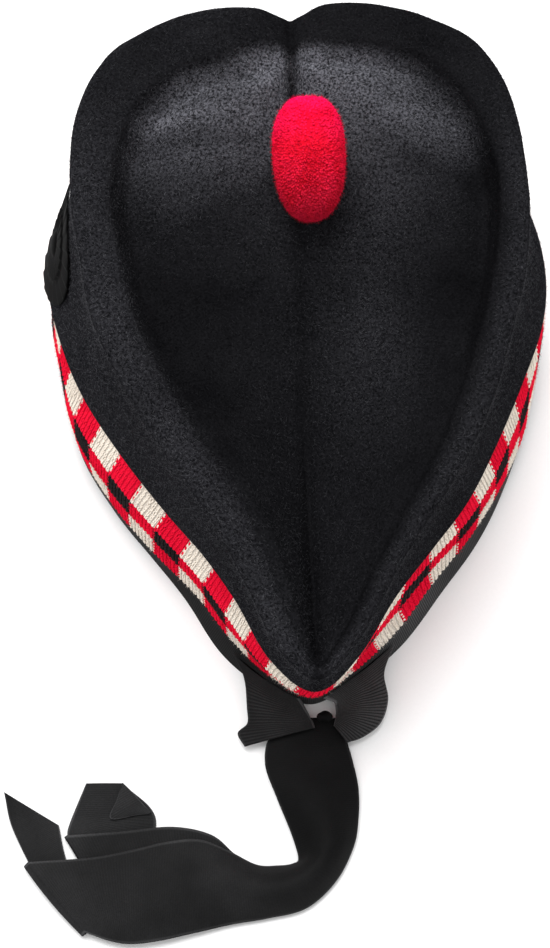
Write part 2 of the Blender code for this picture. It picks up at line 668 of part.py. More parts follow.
def main():
    clear_scene()
    folder = bpy.data.collections.new("glengarry")
    bpy.context.scene.collection.children.link(folder)
    felt = material("felt", (0.018, 0.019, 0.024), 0.95)
    knit = material("knit", (0.62, 0.05, 0.07), 0.9)
    ribbon = material("ribbon", (0.022, 0.022, 0.024), 0.6)
    wool = material("wool", (0.75, 0.01, 0.03), 0.95)

    cap = add_object("felt_cap", loft(cap_solid(), False, False), felt, folder)
    band = add_object("dicing_band", loft(band_solid(), True, False), knit, folder)
    add_object("binding", loft(binding_solid(), True, False), ribbon, folder)
    toorie = add_object("toorie", toorie_mesh(), wool, folder)
    seat(toorie, [cap], Vector((0, 0, -1)))
    rings = cockade_rings(4, 2 * PLEATS, cockade_bend([cap, band]))
    cockade = add_object("cockade", loft(rings, False, True), ribbon, folder)
    seat(cockade, [cap, band], -Vector(cockade_frame()[3]))
    add_object("knot", knot_mesh(), ribbon, folder)
    ribbons = {
        "tail_front": folded(rulings(TAIL_FRONT, 2, 7), rulings(RETURN_FRONT, 2, 7), 3),
        "tail_back": folded(rulings(TAIL_BACK, 2, 7), rulings(RETURN_BACK, 2, 7), 3),
        "bow_left": bow_rows(BOW_LEFT, 2, 5),
        "bow_right": bow_rows(BOW_RIGHT, 2, 5),
    }
    for name, rows in ribbons.items():
        add_wall(add_object(name, ribbon_sheet(rows), ribbon, folder), RIBBON)
    rest_on_floor(list(folder.objects))


main()
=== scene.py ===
"""The looks of the diced glengarry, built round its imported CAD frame: napped felt, a knitted band of checks,
a ribbed ribbon binding, a pleated cockade, a cut wool toorie, and ribbon tails laid behind."""

import math

import bmesh
import bpy
import numpy as np
from mathutils import Matrix, Vector, noise


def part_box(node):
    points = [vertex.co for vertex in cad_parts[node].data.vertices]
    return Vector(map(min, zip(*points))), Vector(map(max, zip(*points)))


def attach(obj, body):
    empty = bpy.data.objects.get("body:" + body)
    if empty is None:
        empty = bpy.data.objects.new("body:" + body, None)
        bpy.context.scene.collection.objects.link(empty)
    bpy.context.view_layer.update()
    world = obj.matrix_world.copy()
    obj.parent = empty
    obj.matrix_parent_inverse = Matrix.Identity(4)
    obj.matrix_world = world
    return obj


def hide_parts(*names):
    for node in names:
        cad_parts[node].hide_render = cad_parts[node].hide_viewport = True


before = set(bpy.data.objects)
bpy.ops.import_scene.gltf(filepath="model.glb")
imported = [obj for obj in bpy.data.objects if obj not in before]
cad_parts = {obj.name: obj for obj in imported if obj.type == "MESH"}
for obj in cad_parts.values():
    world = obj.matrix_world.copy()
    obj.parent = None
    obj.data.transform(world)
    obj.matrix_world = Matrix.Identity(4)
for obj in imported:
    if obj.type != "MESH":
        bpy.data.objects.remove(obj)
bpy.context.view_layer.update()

# Driving sizes of the cap, in metres, as in the CAD source. The plan centre is on the centre line.
RIM_HALF_WIDTH = 0.0900
TOP_HALF_WIDTH = RIM_HALF_WIDTH - 0.0035
RIDGE_HALF_WIDTH = TOP_HALF_WIDTH - 0.0133
REAR_REACH = 0.1025
FRONT_REACH = 0.1090
RIDGE_FRONT_REACH = FRONT_REACH - 0.0005
BAND_TOP = 0.0465
RIDGE_HEIGHT = 0.1190
CREASE_HEIGHT = RIDGE_HEIGHT - 0.0140
FELT = 0.0024
KNIT = 0.0018
RIBBON = 0.0010
GAP = 0.0004
FLOOR_CLEAR = 0.0003
SIDE_HOLLOW = 0.0012
RIDGE_WIDTH = 0.0110
RIDGE_DROP = 0.0030
GROOVE = 0.0085
FLOOR_RISE = 0.0065
LEAN = 0.0070
LEAN_WIDEN = 0.30
BINDING_HEIGHT = 0.0090
LIP = 0.0010
LIP_HEIGHT = 0.0030
BULGE = 0.0040
CHECK_HEIGHT = (BAND_TOP - BINDING_HEIGHT) / 3
RIBBON_WIDTH = 0.0310
KNOT_X = 0.0040
KNOT_Y = -REAR_REACH - 0.0005
CAD_COLUMNS = 72

# One half of the cap from the rear centre to the front centre, as in the CAD source, in shares of the
# sizes above.
STATIONS = (
    # rim_x rim_y  top_x top_y  ridge_x ridge_y ridge_z width groove rise crease_y crease_z lean
    (0.000, -0.966, 0.000, -1.000, 0.000, -1.045, 0.675, 0.36, 0.00, 0.00, -0.961, 0.715, 0.00),
    (0.170, -0.880, 0.162, -0.890, 0.180, -0.935, 0.690, 0.50, 0.00, 0.00, -0.859, 0.665, 0.05),
    (0.345, -0.740, 0.312, -0.693, 0.342, -0.745, 0.720, 0.62, 0.00, 0.00, -0.683, 0.620, 0.50),
    (0.511, -0.566, 0.465, -0.537, 0.505, -0.575, 0.755, 0.75, 0.05, 0.00, -0.507, 0.600, 0.95),
    (0.667, -0.410, 0.613, -0.380, 0.683, -0.390, 0.795, 0.88, 0.15, 0.00, -0.322, 0.620, 1.00),
    (0.800, -0.234, 0.740, -0.185, 0.826, -0.175, 0.840, 0.95, 0.40, 0.05, -0.137, 0.700, 0.60),
    (0.911, -0.029, 0.867, 0.035, 0.929, 0.047, 0.885, 0.95, 0.80, 0.25, 0.055, 0.810, 0.25),
    (0.978, 0.190, 0.971, 0.230, 0.984, 0.226, 0.920, 0.92, 1.00, 0.65, 0.230, 0.910, 0.35),
    (1.000, 0.410, 1.000, 0.413, 1.000, 0.425, 0.950, 0.92, 1.00, 0.95, 0.396, 0.970, 0.15),
    (0.944, 0.606, 0.960, 0.605, 0.956, 0.660, 0.975, 1.20, 0.80, 1.00, 0.530, 0.990, 0.00),
    (0.811, 0.771, 0.844, 0.771, 0.833, 0.835, 0.990, 1.50, 0.60, 1.00, 0.620, 0.995, 0.00),
    (0.622, 0.872, 0.647, 0.899, 0.628, 0.929, 0.998, 1.75, 0.50, 0.85, 0.680, 0.995, 0.00),
    (0.378, 0.945, 0.393, 0.982, 0.410, 0.984, 1.000, 1.85, 0.40, 0.60, 0.722, 0.990, 0.00),
    (0.144, 0.972, 0.150, 1.005, 0.164, 0.998, 0.990, 1.60, 0.35, 0.30, 0.748, 0.980, 0.00),
    (0.000, 0.977, 0.000, 1.009, 0.000, 0.968, 0.970, 1.10, 0.30, 0.10, 0.762, 0.975, 0.00),
)
COLUMNS = (
    "rim_x", "rim_y", "top_x", "top_y", "ridge_x", "ridge_y", "ridge_z",
    "width", "groove", "rise", "crease_y", "crease_z", "lean",
)

# The crown's sides, its roll and its floor, and the band's lean and bulge, as in the CAD source.
SIDES = ((0.50, 0.34, 1.0), (0.87, 0.74, 0.8))
ROLL = (
    (0.00, 1.00, 0.00),
    (0.14, 0.20, 0.00),
    (0.40, 0.00, 0.00),
    (0.68, 0.23, 0.00),
    (0.94, 0.27, 0.00),
    (1.12, 0.60, 0.45),
    (1.42, 0.80, 0.95),
)
FLOOR = ((0.20, 0.70), (0.45, 1.00), (0.75, 0.60))
BAND_LEAN = ((0.00, 0.00), (0.20, -0.05), (0.45, 0.00), (0.70, 0.35), (0.86, 0.70), (1.00, 1.00))
BAND_BULGE = (
    # rim foot lower upper
    (-0.40, -0.50, -0.20, 0.45),
    (0.60, -0.42, -1.00, -0.50),
    (0.28, -0.55, -0.58, 0.00),
    (-0.32, -0.45, -0.65, -0.20),
    (0.00, -0.20, -0.20, 0.00),
    *[(0.00, 0.00, 0.00, 0.00)] * 5,
    (-0.20, -0.30, -0.20, -0.35),
    (-0.20, -0.35, -0.15, 0.35),
    (0.35, 0.10, 0.00, 0.55),
    (1.05, -0.25, -0.10, 0.50),
)

# Each ribbon as rulings across it: the left and right edge in ribbon widths from the knot, the height of
# each edge in ribbon layers, and how high the middle arches, in ribbon widths.
TAIL_FRONT = (
    # left_x left_y left_z right_x right_y right_z arch
    (-0.26, 0.02, 1.0, 0.16, 0.00, 1.0, 0.00),
    (-0.60, -0.16, 1.0, 0.22, -0.20, 1.0, 0.00),
    (-0.68, -0.48, 1.0, 0.29, -0.50, 1.0, 0.04),
    (-0.56, -0.86, 1.0, 0.33, -0.80, 1.0, 0.15),
    (-0.42, -1.24, 1.0, 0.31, -1.12, 1.0, 0.24),
    (-0.35, -1.52, 1.0, 0.24, -1.42, 1.0, 0.29),
    (-0.42, -1.585, 1.0, 0.03, -1.78, 1.0, 0.28),
    (-0.58, -1.60, 1.0, -0.30, -2.05, 1.0, 0.26),
    (-0.82, -1.58, 1.0, -0.72, -2.14, 1.0, 0.24),
    (-1.12, -1.42, 1.6, -1.10, -2.19, 1.0, 0.15),
    (-1.42, -1.29, 2.2, -1.50, -2.27, 1.6, 0.06),
    (-1.78, -1.30, 2.3, -1.88, -2.34, 2.1, 0.04),
    (-2.20, -1.38, 2.3, -2.18, -2.36, 2.1, 0.05),
    (-2.62, -1.44, 2.5, -2.40, -2.32, 2.1, 0.06),
    (-3.28, -1.46, 2.5, -2.66, -2.22, 2.1, 0.05),
)
TAIL_BACK = (
    (-0.22, 0.00, 0.0, 0.12, -0.02, 0.0, 0.00),
    (-0.54, -0.18, 0.0, 0.16, -0.22, 0.0, 0.00),
    (-0.62, -0.50, 0.0, 0.22, -0.52, 0.0, 0.00),
    (-0.48, -0.88, 0.0, 0.24, -0.82, 0.0, 0.08),
    (-0.33, -1.24, 0.0, 0.22, -1.14, 0.0, 0.16),
    (-0.26, -1.50, 0.0, 0.14, -1.42, 0.0, 0.20),
    (-0.36, -1.66, 0.0, -0.06, -1.74, 0.0, 0.19),
    (-0.60, -1.68, 0.0, -0.36, -1.98, 0.0, 0.17),
    (-0.84, -1.62, 0.0, -0.76, -2.06, 0.0, 0.15),
    (-1.06, -1.44, 0.0, -1.12, -2.10, 0.0, 0.08),
    (-1.30, -1.23, 0.7, -1.36, -2.12, 0.0, 0.02),
    (-1.72, -1.13, 1.0, -1.60, -2.12, 0.6, 0.00),
    (-2.30, -1.16, 1.0, -1.98, -2.12, 1.0, 0.00),
    (-2.87, -1.18, 1.2, -2.30, -2.14, 1.0, 0.00),
)
# Beyond the diagonal fold each tail runs back under itself towards +Y, from the fold to its cut end.
RETURN_FRONT = (
    (-3.28, -1.46, 0.0, -2.66, -2.22, 0.0, 0.00),
    (-3.36, -1.30, 0.3, -2.80, -1.70, 0.0, 0.00),
    (-3.48, -1.02, 1.6, -2.90, -1.36, 0.0, -0.01),
    (-3.54, -0.70, 4.0, -2.96, -1.06, 0.2, -0.03),
)
RETURN_BACK = (
    (-2.87, -1.18, 0.2, -2.30, -2.14, 0.0, 0.00),
    (-2.86, -1.10, 0.1, -2.10, -1.62, 0.0, 0.00),
    (-2.80, -0.94, 0.3, -1.90, -1.03, 0.0, 0.00),
    (-2.65, -0.63, 2.4, -2.25, -0.64, 2.0, 0.01),
)
# The corner of the back tail's end, turned over on top of it, from its fold on the left to its free point.
FLAP_BACK = (
    (-2.25, -0.64, 2.60, -2.26, -0.67, 2.60, 0.00),
    (-2.15, -0.74, 2.10, -2.32, -0.83, 1.75, 0.01),
    (-2.06, -0.84, 1.55, -2.39, -1.01, 0.95, 0.02),
    (-1.99, -0.92, 1.10, -2.12, -0.98, 0.85, 0.01),
    (-1.95, -0.96, 0.90, -1.96, -0.97, 0.85, 0.00),
)
BOW_LEFT = (
    (-1.04, 0.75, 3.6, -0.30, 0.16, 3.6, 0.00),
    (-0.90, 0.47, 3.2, -0.22, 0.06, 3.2, 0.01),
    (-0.86, 0.16, 2.4, -0.16, 0.00, 2.4, 0.04),
    (-0.86, -0.03, 2.1, -0.13, -0.05, 2.1, 0.04),
    (-0.97, -0.14, 2.1, -0.12, -0.08, 2.1, 0.03),
    (-0.90, -0.29, 2.1, -0.11, -0.11, 2.1, 0.02),
)
BOW_RIGHT = (
    (0.04, 0.16, 3.6, 0.84, 0.80, 3.6, 0.00),
    (0.14, 0.13, 3.2, 0.70, 0.48, 3.2, 0.02),
    (0.14, 0.08, 2.4, 0.72, 0.18, 2.8, 0.05),
    (0.13, 0.03, 2.1, 0.62, -0.08, 2.4, 0.06),
    (0.12, -0.02, 2.1, 0.42, -0.23, 2.1, 0.04),
    (0.10, -0.10, 2.1, 0.23, -0.29, 2.1, 0.02),
)

# The felt: its rows and columns, how uneven it is, and the pressed crease down the middle of the crown.
FELT_COLUMNS = 360
FELT_GATHER = 0.6
FELT_STEPS = 6
WALL_ROWS = 4
FREE_RINGS = 4
NARROW_SHARE = 0.42
INNER_STEP = 4
JOIN = 0.00002
UNEVEN = ((0.00045, 38.0), (0.00020, 120.0))
CREASE_DEPTH = 0.0007
CREASE_WIDTH = 0.0022
CREASE_STEP = 4
NOTCH_STEPS = (-1.0, 0.5, 6.0, 8.5)
NOTCH_DEPTH = 0.0014
NOTCH_WIDTH = 0.0016
# Painted light, put into the felt's colour where the nap would catch the light: on the crown's floor, from
# these steps of ROLL inwards, by the distance back from a place near the front; along the middle and beside it
# on the right; and over the ridge. CREASE_SHADE is painted shade along the crease.
GLEAM_EDGE = (3.9, 6.1)
CREASE_SHADE = 0.65
GLEAM_FRONT = 0.0860
GLEAM_BACK = (0.000, 0.006, 0.012, 0.018, 0.024, 0.030, 0.036, 0.048, 0.070)
GLEAM_SHARES = (0.92, 0.78, 0.64, 0.58, 0.51, 0.36, 0.20, 0.06, 0.00)
GLEAM_SIDES = (-0.072, -0.040, 0.020, 0.068)
SIDE_SHARES = (0.62, 1.00, 1.00, 0.58)
GLEAM_MIDDLE = 0.05
MIDDLE_HALF = 0.022
GLEAM_BESIDE = 0.12
BESIDE_PLACE = (0.024, 0.000)
BESIDE_SIZE = (0.013, 0.030)
GLEAM_RIDGE = (0.16, 0.12)
RIDGE_EDGE = ((2.6, 5.6), (2.0, 4.1))
FRONT_EDGE = (-0.8, 1.0)
RIDGE_FRONT = (0.045, 0.080)
RIDGE_AHEAD = (0.20, 0.08)
AHEAD_TURN = 0.020
# Painted light on the ridge in front: everywhere, over all of it, and over its outer side alone.
FRONT_RIDGE = (0.005, 0.2, 0.8)
# Soft folds of the felt in front, by their place, the way they run, their half width and length, and how
# much painted shade they put on the felt's painted light there (painted light where below zero), at most by
# FOLD_MOST.
FOLDS = (
    # x y turn width length change
    (-0.0340, 0.0625, 0.05, 0.0034, 0.0240, 0.50),
    (-0.0500, 0.0830, 0.75, 0.0090, 0.0220, 0.85),
    (-0.0600, 0.0350, 1.30, 0.0060, 0.0160, 0.50),
    (0.0420, 0.0520, -0.45, 0.0040, 0.0200, 0.50),
    (0.0600, 0.0480, 1.40, 0.0070, 0.0140, 0.85),
    (0.0500, 0.0830, -0.65, 0.0085, 0.0220, 0.85),
    (-0.0150, 0.0440, 0.35, 0.0028, 0.0180, 0.35),
    (-0.0400, 0.0380, 0.55, 0.0040, 0.0170, -0.60),
    (0.0310, 0.0370, -0.20, 0.0090, 0.0130, -0.80),
    (-0.0430, 0.0705, 0.12, 0.0028, 0.0180, -0.70),
    (0.0330, 0.0700, -0.30, 0.0040, 0.0200, -0.30),
)
FOLD_DEPTH = 0.0006
FOLD_MOST = 0.9
LIP_PROFILE = (
    # height over the lip's lower edge, way out of the band's face
    (0.00035, -0.0012),
    (0.00005, -0.0003),
    (0.00010, 0.0004),
    (0.00060, 0.0009),
    (0.00160, 0.0011),
)
NAP = 44000
NAP_LENGTH = 0.0015
NAP_RADIUS = 0.000065
NAP_LIFT = (0.05, 0.65)
NAP_FADE = 0.7
NAP_SEED = 11
FIBRE_LIFT = 0.15
FIBRE_LENGTHS = (0.5, 1.4)

# The knitted band: wales round it, courses up it, checks of so many wales, and loose fibres over it.
COLOURS = ("red", "white", "black")
CHECKS = 48
WALES_PER_CHECK = 7
WALES = CHECKS * WALES_PER_CHECK
CHECK_ROWS = 3
COURSES_PER_CHECK = 9
YARN = 0.00044
BACKING_DEPTH = 0.00010
BACKING_INSET = 0.0001
FUZZ = 13000
FUZZ_LENGTH = 0.0011
FUZZ_RADIUS = 0.00006
FUZZ_ROOT = 0.55 * YARN
FUZZ_LIFT = 0.6
KNIT_SEED = 5
CHECK_SHIFT = 2
FACE_COLUMNS = 4
FACE_ROWS = 93
# A stitch's leg: how far along it, over from the middle of the wale, and out of the face in shares of YARN;
# its half width and sway in wales, its slant in courses, how thick it is, how far its sides sink, and how
# far the lowest legs reach under the binding.
LEG_SPINE = (
    (-0.30, 0.02, -0.10),
    (0.05, 0.09, 0.80),
    (0.45, 0.17, 1.00),
    (0.85, 0.22, 0.78),
    (1.12, 0.24, -0.05),
)
LEG_HALF = 0.200
LEG_SIDES = 3
LEG_SWAY = 0.060
LEG_SLANT = 0.10
LEG_DEPTHS = (0.70, 1.12)
LEG_SINK = 0.60
LEG_TUCK = 0.0004
DRAWN = 3.0
DRAWN_REACH = 105
HANG = 3.2
HANG_PLACE = 14
HANG_LENGTH = 15

# The ribbed ribbon: its ribs, its wall, how wide its selvedges are, and the places across it that carry
# points.
RIB_PITCH = 0.00080
RIB_DEPTH = 0.00007
RIB_STEPS = 3
RIBBON_WALL = 0.00060
SELVEDGE = 0.035
SELVEDGE_RISE = 0.00005
ACROSS = (0.0, 0.018, 0.035, 0.06, 0.18, 0.34, 0.50, 0.66, 0.82, 0.94, 0.965, 0.982, 1.0)
MIDDLE = len(ACROSS) // 2
FROM_EDGE = np.minimum(ACROSS, 1 - np.array(ACROSS))
BINDING_RIBS = 750
RULING_STEPS = 40
FOLD_STEPS = 12
BOW_RISE = 0.6 * BINDING_HEIGHT
BOW_EASE = 0.6
BOW_WIDTHS = (0.8, 0.6)
# Painted highlights on the ribs of each ribbon, at even steps from the knot.
SHINE = {
    "tail_front": (0.03, 0.03, 0.00, 0.00, 0.10, 0.18, 0.18, 0.14, 0.18, 0.31, 0.28, 0.24),
    "tail_back": (0.03, 0.00, 0.00, 0.03, 0.10, 0.18, 0.18, 0.24, 0.28, 0.28),
    "bow_left": (0.40, 0.30, 0.28, 0.25),
    "bow_right": (0.85, 0.85, 0.65, 0.40),
    "corner": (0.45, 0.30, 0.55),
}
RIB_CONTRAST = {"tail_front": 0.5, "tail_back": 0.6, "bow_left": 1.9, "bow_right": 1.9, "corner": 0.8}
# The painted highlight along the selvedges, and the shares of it at no painted shine of the ribs and by their
# painted shine.
EDGE_SHINE = 0.8
EDGE_SHARES = (0.2, 2.0)
# Painted highlights on the binding's ribs, weaker on the left and stronger on the right, changing over this
# reach about the middle.
BINDING_SHINE = (0.50, 1.80)
BINDING_TURN = 0.030
BINDING_INNER = -(KNIT + GAP + FELT + GAP)
BINDING_ROUND = 0.3 * RIBBON
BINDING_OUTLINE = (
    # height, way out of the band's face, and share of the ribs' depth
    (0.0, -BINDING_ROUND, 0.0),
    (0.3 * BINDING_ROUND, -0.3 * BINDING_ROUND, 0.4),
    (BINDING_ROUND, 0.0, 1.0),
    (0.35 * BINDING_HEIGHT, 0.0, 1.0),
    (0.70 * BINDING_HEIGHT, 0.0, 1.0),
    (BINDING_HEIGHT - 0.0011, 0.0, 1.0),
    (BINDING_HEIGHT - 0.0007, 0.00012, 0.3),
    (BINDING_HEIGHT - 0.0001, 0.00010, 0.3),
    (BINDING_HEIGHT, -0.00025, 0.0),
    (BINDING_HEIGHT, -RIBBON, 0.0),
    (RIBBON + 0.5 * GAP, -RIBBON, 0.0),
    (RIBBON + 0.5 * GAP, BINDING_INNER, 0.0),
    (BINDING_HEIGHT, BINDING_INNER, 0.0),
    (BINDING_HEIGHT, BINDING_INNER - 0.8 * RIBBON, 0.0),
    (BINDING_HEIGHT - 0.0007, BINDING_INNER - RIBBON, 0.3),
    (0.5 * BINDING_HEIGHT, BINDING_INNER - RIBBON, 1.0),
    (BINDING_ROUND, BINDING_INNER - RIBBON, 1.0),
    (0.0, BINDING_INNER - RIBBON + BINDING_ROUND, 0.0),
)

# The toorie: its egg, as in the CAD source, and its cut ends of yarn.
TOORIE_WIDTH = 0.0230
TOORIE_LENGTH = 0.0368
TOORIE_HEIGHT = 0.0340
TOORIE_TILT = 0.0080
TOORIE_FOOT = 0.10
TOORIE_SQUARE = 2.6
TOORIE_FLARE = 0.07
TOORIE_NARROW = 0.66
TOORIE_TAPER = 1.5
TOORIE_FULL = -0.2
TOORIE_PIVOT = 0.75
EGG_SPOTS = 4000
# Painted light on the toorie: the way it grows, where its middle is, and how far it fades, with painted shade
# at its rear and foot.
TOORIE_LIT = (0.0, 0.94, 0.34)
TOORIE_MIDDLE = 0.006
TOORIE_FADE = 0.036
TOORIE_SEED = 23
CORE_DEPTH = 0.00045
CORE_GRID = (24, 48)
# An end of yarn: how far back each of its rings is and how wide, in shares of its length and radius.
END_RINGS = ((1.0, 0.8), (0.45, 1.0), (0.10, 0.70))
END_SIDES = 4
END_COUNT = 6500
END_LENGTH = 0.0012
END_RADIUS = 0.00046
END_RADII = (0.75, 1.15)
END_SCATTER = 0.010
END_LEAN = 0.22
END_SINK = (-0.00035, 0.00025)
FLUFF = 6000
FLUFF_LENGTHS = (0.0006, 0.0014)
FLUFF_RADIUS = 0.00004
FLUFF_SPREAD = 0.8

# The cockade's pleats and its section: shares of its radius, height, and share of the pleats, from the
# middle of the front to the edge and back; and the knot's rows, columns and twist.
PLEATS = 20
PLEAT_COLUMNS = 16
PLEAT_DEPTH = 0.0004
PLEAT_REACH = 0.010
PLEAT_TOP = 0.8
COCKADE_PROFILE = (
    (0.01, 0.00150, 0.0), (0.08, 0.00145, 0.0), (0.16, 0.00115, 0.0), (0.20, 0.00070, 0.0),
    (0.21, 0.00045, 0.1), (0.26, 0.00055, 0.3), (0.40, 0.00060, 0.8), (0.56, 0.00055, 1.0),
    (0.60, 0.00045, 1.0), (0.61, 0.00000, 0.4), (0.70, 0.00010, 0.8), (0.85, 0.00010, 1.0),
    (0.97, 0.00005, 1.0), (1.00, -0.00010, 0.8), (0.99, -0.00060, 0.0), (0.60, -0.00060, 0.0),
    (0.01, -0.00060, 0.0),
)
KNOT_GRID = (40, 72)
KNOT_TWIST = 0.10
SMALL_JOIN = 0.00001

# The looks of the cloths, the painted light that some of them carry, and the toorie's painted shade from its
# rear and foot to its top.
LOOKS = {
    # dark, light, coarse noise, fine noise, contrast, roughness, specular, bump
    "felt": ((0.0034, 0.0034, 0.0039), (0.0062, 0.0062, 0.0070), 55, 1500, 0.60, 0.95, 0.0, 0.00050),
    "nap": ((0.005, 0.005, 0.006), (0.016, 0.016, 0.018), 300, 3000, 0.3, 0.90, 0.0, 0.00002),
    "ribbon": ((0.0034, 0.0034, 0.0035), (0.0058, 0.0058, 0.0060), 45, 2400, 0.30, 0.60, 0.035, 0.00005),
    "cockade": ((0.0018, 0.0018, 0.0019), (0.0034, 0.0034, 0.0035), 45, 2400, 0.30, 0.70, 0.02, 0.00005),
    "red_yarn": ((0.74, 0.007, 0.034), (0.90, 0.012, 0.050), 90, 2000, 0.14, 0.90, 0.0, 0.00012),
    "white_yarn": ((0.78, 0.70, 0.61), (0.93, 0.85, 0.75), 90, 2000, 0.10, 0.90, 0.0, 0.00012),
    "black_yarn": ((0.018, 0.015, 0.016), (0.034, 0.029, 0.030), 90, 2000, 0.25, 0.90, 0.0, 0.00012),
    "red_backing": ((0.66, 0.005, 0.028), (0.80, 0.009, 0.040), 90, 2000, 0.2, 0.92, 0.0, 0.00010),
    "white_backing": ((0.62, 0.55, 0.48), (0.76, 0.70, 0.62), 90, 2000, 0.2, 0.92, 0.0, 0.00010),
    "black_backing": ((0.010, 0.009, 0.009), (0.018, 0.016, 0.016), 90, 2000, 0.2, 0.92, 0.0, 0.00010),
    "pile": ((0.74, 0.0035, 0.050), (0.97, 0.0070, 0.115), 160, 900, 0.30, 0.92, 0.0, 0.00012),
    "pile_core": ((0.58, 0.002, 0.026), (0.72, 0.003, 0.048), 120, 2200, 0.2, 0.92, 0.0, 0.00012),
}
PAINTED_LIGHTS = {
    # colour of the painted light, its specks and their contrast, its broad patches and their contrast
    "felt": ((0.060, 0.060, 0.069), 1200, 0.95, 42, 0.14),
    "nap": ((0.22, 0.22, 0.24), 1200, 0.50, 42, 0.14),
    "ribbon": ((0.034, 0.034, 0.035), 2400, 0.20, 32, 0.40),
}
# Painted shade on the toorie's wool, from its rear and foot to its top.
PILE_PAINTED_SHADE = ((0.0, (0.52, 1.7, 0.34)), (0.5, (0.76, 1.5, 0.42)), (1.0, (1.0, 1.2, 1.0)))

# The studio: its camera where the photograph was taken from, and a wide soft light over the front of the
# cap.
CAMERA_FROM_CAP = (-0.018282, -0.233733, 0.6108)
CAMERA_WAY = (0.0135, 0.3417, -0.9397)
CAMERA_UP = (0.037, 0.939, 0.342)
CAMERA_LENS = 67.8
CAMERA_NEAR = 0.01
LIGHT_PLACE = (-0.15, 0.40, 1.30)
LIGHT_TARGET = (0.0, 0.03, 0.05)
LIGHT_SIZE = 0.9
LIGHT_POWER = 20.0
WORLD_STRENGTH = 0.90
FLOOR_REACH = 3.0


def catmull(values, at, closed):
    """Values at even steps, read between them on a smooth curve through all of them."""
    values = np.asarray(values, float)
    at = np.asarray(at, float)
    count = len(values)
    i = np.floor(at).astype(int)
    if not closed:
        i = np.clip(i, 0, count - 2)
    f = at - i
    f = f.reshape(f.shape + (1,) * (values.ndim - 1))
    if closed:
        p = [values[(i + k) % count] for k in (-1, 0, 1, 2)]
    else:
        ends = np.concatenate([[2 * values[0] - values[1]], values, [2 * values[-1] - values[-2]]])
        p = [ends[i + k] for k in (0, 1, 2, 3)]
    return 0.5 * (
        2 * p[1]
        + (p[2] - p[0]) * f
        + (2 * p[0] - 5 * p[1] + 4 * p[2] - p[3]) * f**2
        + (3 * p[1] - p[0] - 3 * p[2] + p[3]) * f**3
    )


def unit_rows(vectors):
    """Vectors of length one along each of the given ones."""
    return vectors / np.maximum(np.linalg.norm(vectors, axis=-1, keepdims=True), 1e-12)


def bump(away, width):
    """A smooth hump of height one over a middle, by the distance from it."""
    return np.exp(-((away / width) ** 2))


def run_along(points):
    """How far along a line of points each of them is."""
    return np.concatenate([[0], np.cumsum(np.linalg.norm(np.diff(points, axis=0), axis=1))])


def station_loop():
    """The stations all the way round, from the rear centre by the right side, as named columns in metres."""
    table = np.array(STATIONS)
    loop = np.concatenate([table, table[-2:0:-1]])
    left = np.arange(len(loop)) >= len(table)
    side = np.where(left, -1.0, 1.0)
    col = {name: loop[:, i] for i, name in enumerate(COLUMNS)}
    lean = np.where(left, col["lean"], 0.0)

    def plan_x(share, half_width):
        return side * share * half_width + lean * LEAN

    def plan_y(share, front):
        return np.where(share < 0, share * REAR_REACH, share * front)

    return {
        "rim_x": plan_x(col["rim_x"], RIM_HALF_WIDTH),
        "rim_y": plan_y(col["rim_y"], FRONT_REACH),
        "top_x": plan_x(col["top_x"], TOP_HALF_WIDTH),
        "top_y": plan_y(col["top_y"], FRONT_REACH),
        "ridge_x": plan_x(col["ridge_x"], RIDGE_HALF_WIDTH),
        "ridge_y": plan_y(col["ridge_y"], RIDGE_FRONT_REACH),
        "ridge_z": col["ridge_z"] * RIDGE_HEIGHT,
        "width": col["width"] * RIDGE_WIDTH * np.where(left, 1 + LEAN_WIDEN, 1.0),
        "groove": col["groove"] * GROOVE,
        "rise": col["rise"] * FLOOR_RISE,
        "crease_y": plan_y(col["crease_y"], RIDGE_FRONT_REACH),
        "crease_z": col["crease_z"] * CREASE_HEIGHT,
    }


def places(columns, gather=0.0):
    """Station numbers of columns spaced along the band's top, the same on both sides: evenly, or gathered
    towards the rear and front."""
    loop = station_loop()
    half = len(STATIONS) - 1
    fine = np.linspace(0, half, 1001)
    run = run_along(np.stack([catmull(loop[name], fine, True) for name in ("top_x", "top_y")], 1))
    share = np.arange(columns) / columns * 2
    share = share - gather * np.sin(2 * math.pi * share) / (2 * math.pi)
    right = np.interp(np.minimum(share, 2 - share) * run[-1], run, fine)
    return np.where(share <= 1, right, 2 * half - right)


def sections(at):
    """Named columns of the cap's stations at the given station numbers."""
    cut = {name: catmull(values, at, True) for name, values in station_loop().items()}
    cut["bulge"] = catmull(BAND_BULGE, np.asarray(at) / 2, True) * BULGE
    return cut


def band_bulge(cut, height):
    """How far the band stands out at a height, in each section."""
    heights = [0.0, *(BINDING_HEIGHT + k * CHECK_HEIGHT for k in range(3)), BAND_TOP - LIP_HEIGHT]
    rows = np.concatenate([cut["bulge"].T, np.zeros((1, len(cut["rim_x"])))])
    below = int(np.clip(np.searchsorted(heights, height, side="right") - 1, 0, len(heights) - 2))
    share = min((height - heights[below]) / (heights[below + 1] - heights[below]), 1.0)
    return rows[below] * (1 - share) + rows[below + 1] * share


def outward(ring):
    """Level unit vectors pointing out of a closed ring of points that runs anticlockwise from above."""
    run = np.roll(ring, -1, axis=0) - np.roll(ring, 1, axis=0)
    return unit_rows(np.stack([run[:, 1], -run[:, 0], np.zeros(len(run))], 1))


def band_ring(cut, height, out):
    """The ring of the band's outer face at a height, moved outwards by out."""
    share = height / BAND_TOP
    shares, leans = zip(*BAND_LEAN)
    lean = float(np.interp(share, shares, leans))
    x = cut["rim_x"] + (cut["top_x"] - cut["rim_x"]) * lean
    y = cut["rim_y"] + (cut["top_y"] - cut["rim_y"]) * lean
    ring = np.stack([x, y, np.full(len(x), height)], 1)
    return ring + outward(ring) * (band_bulge(cut, height) + out)[:, None]


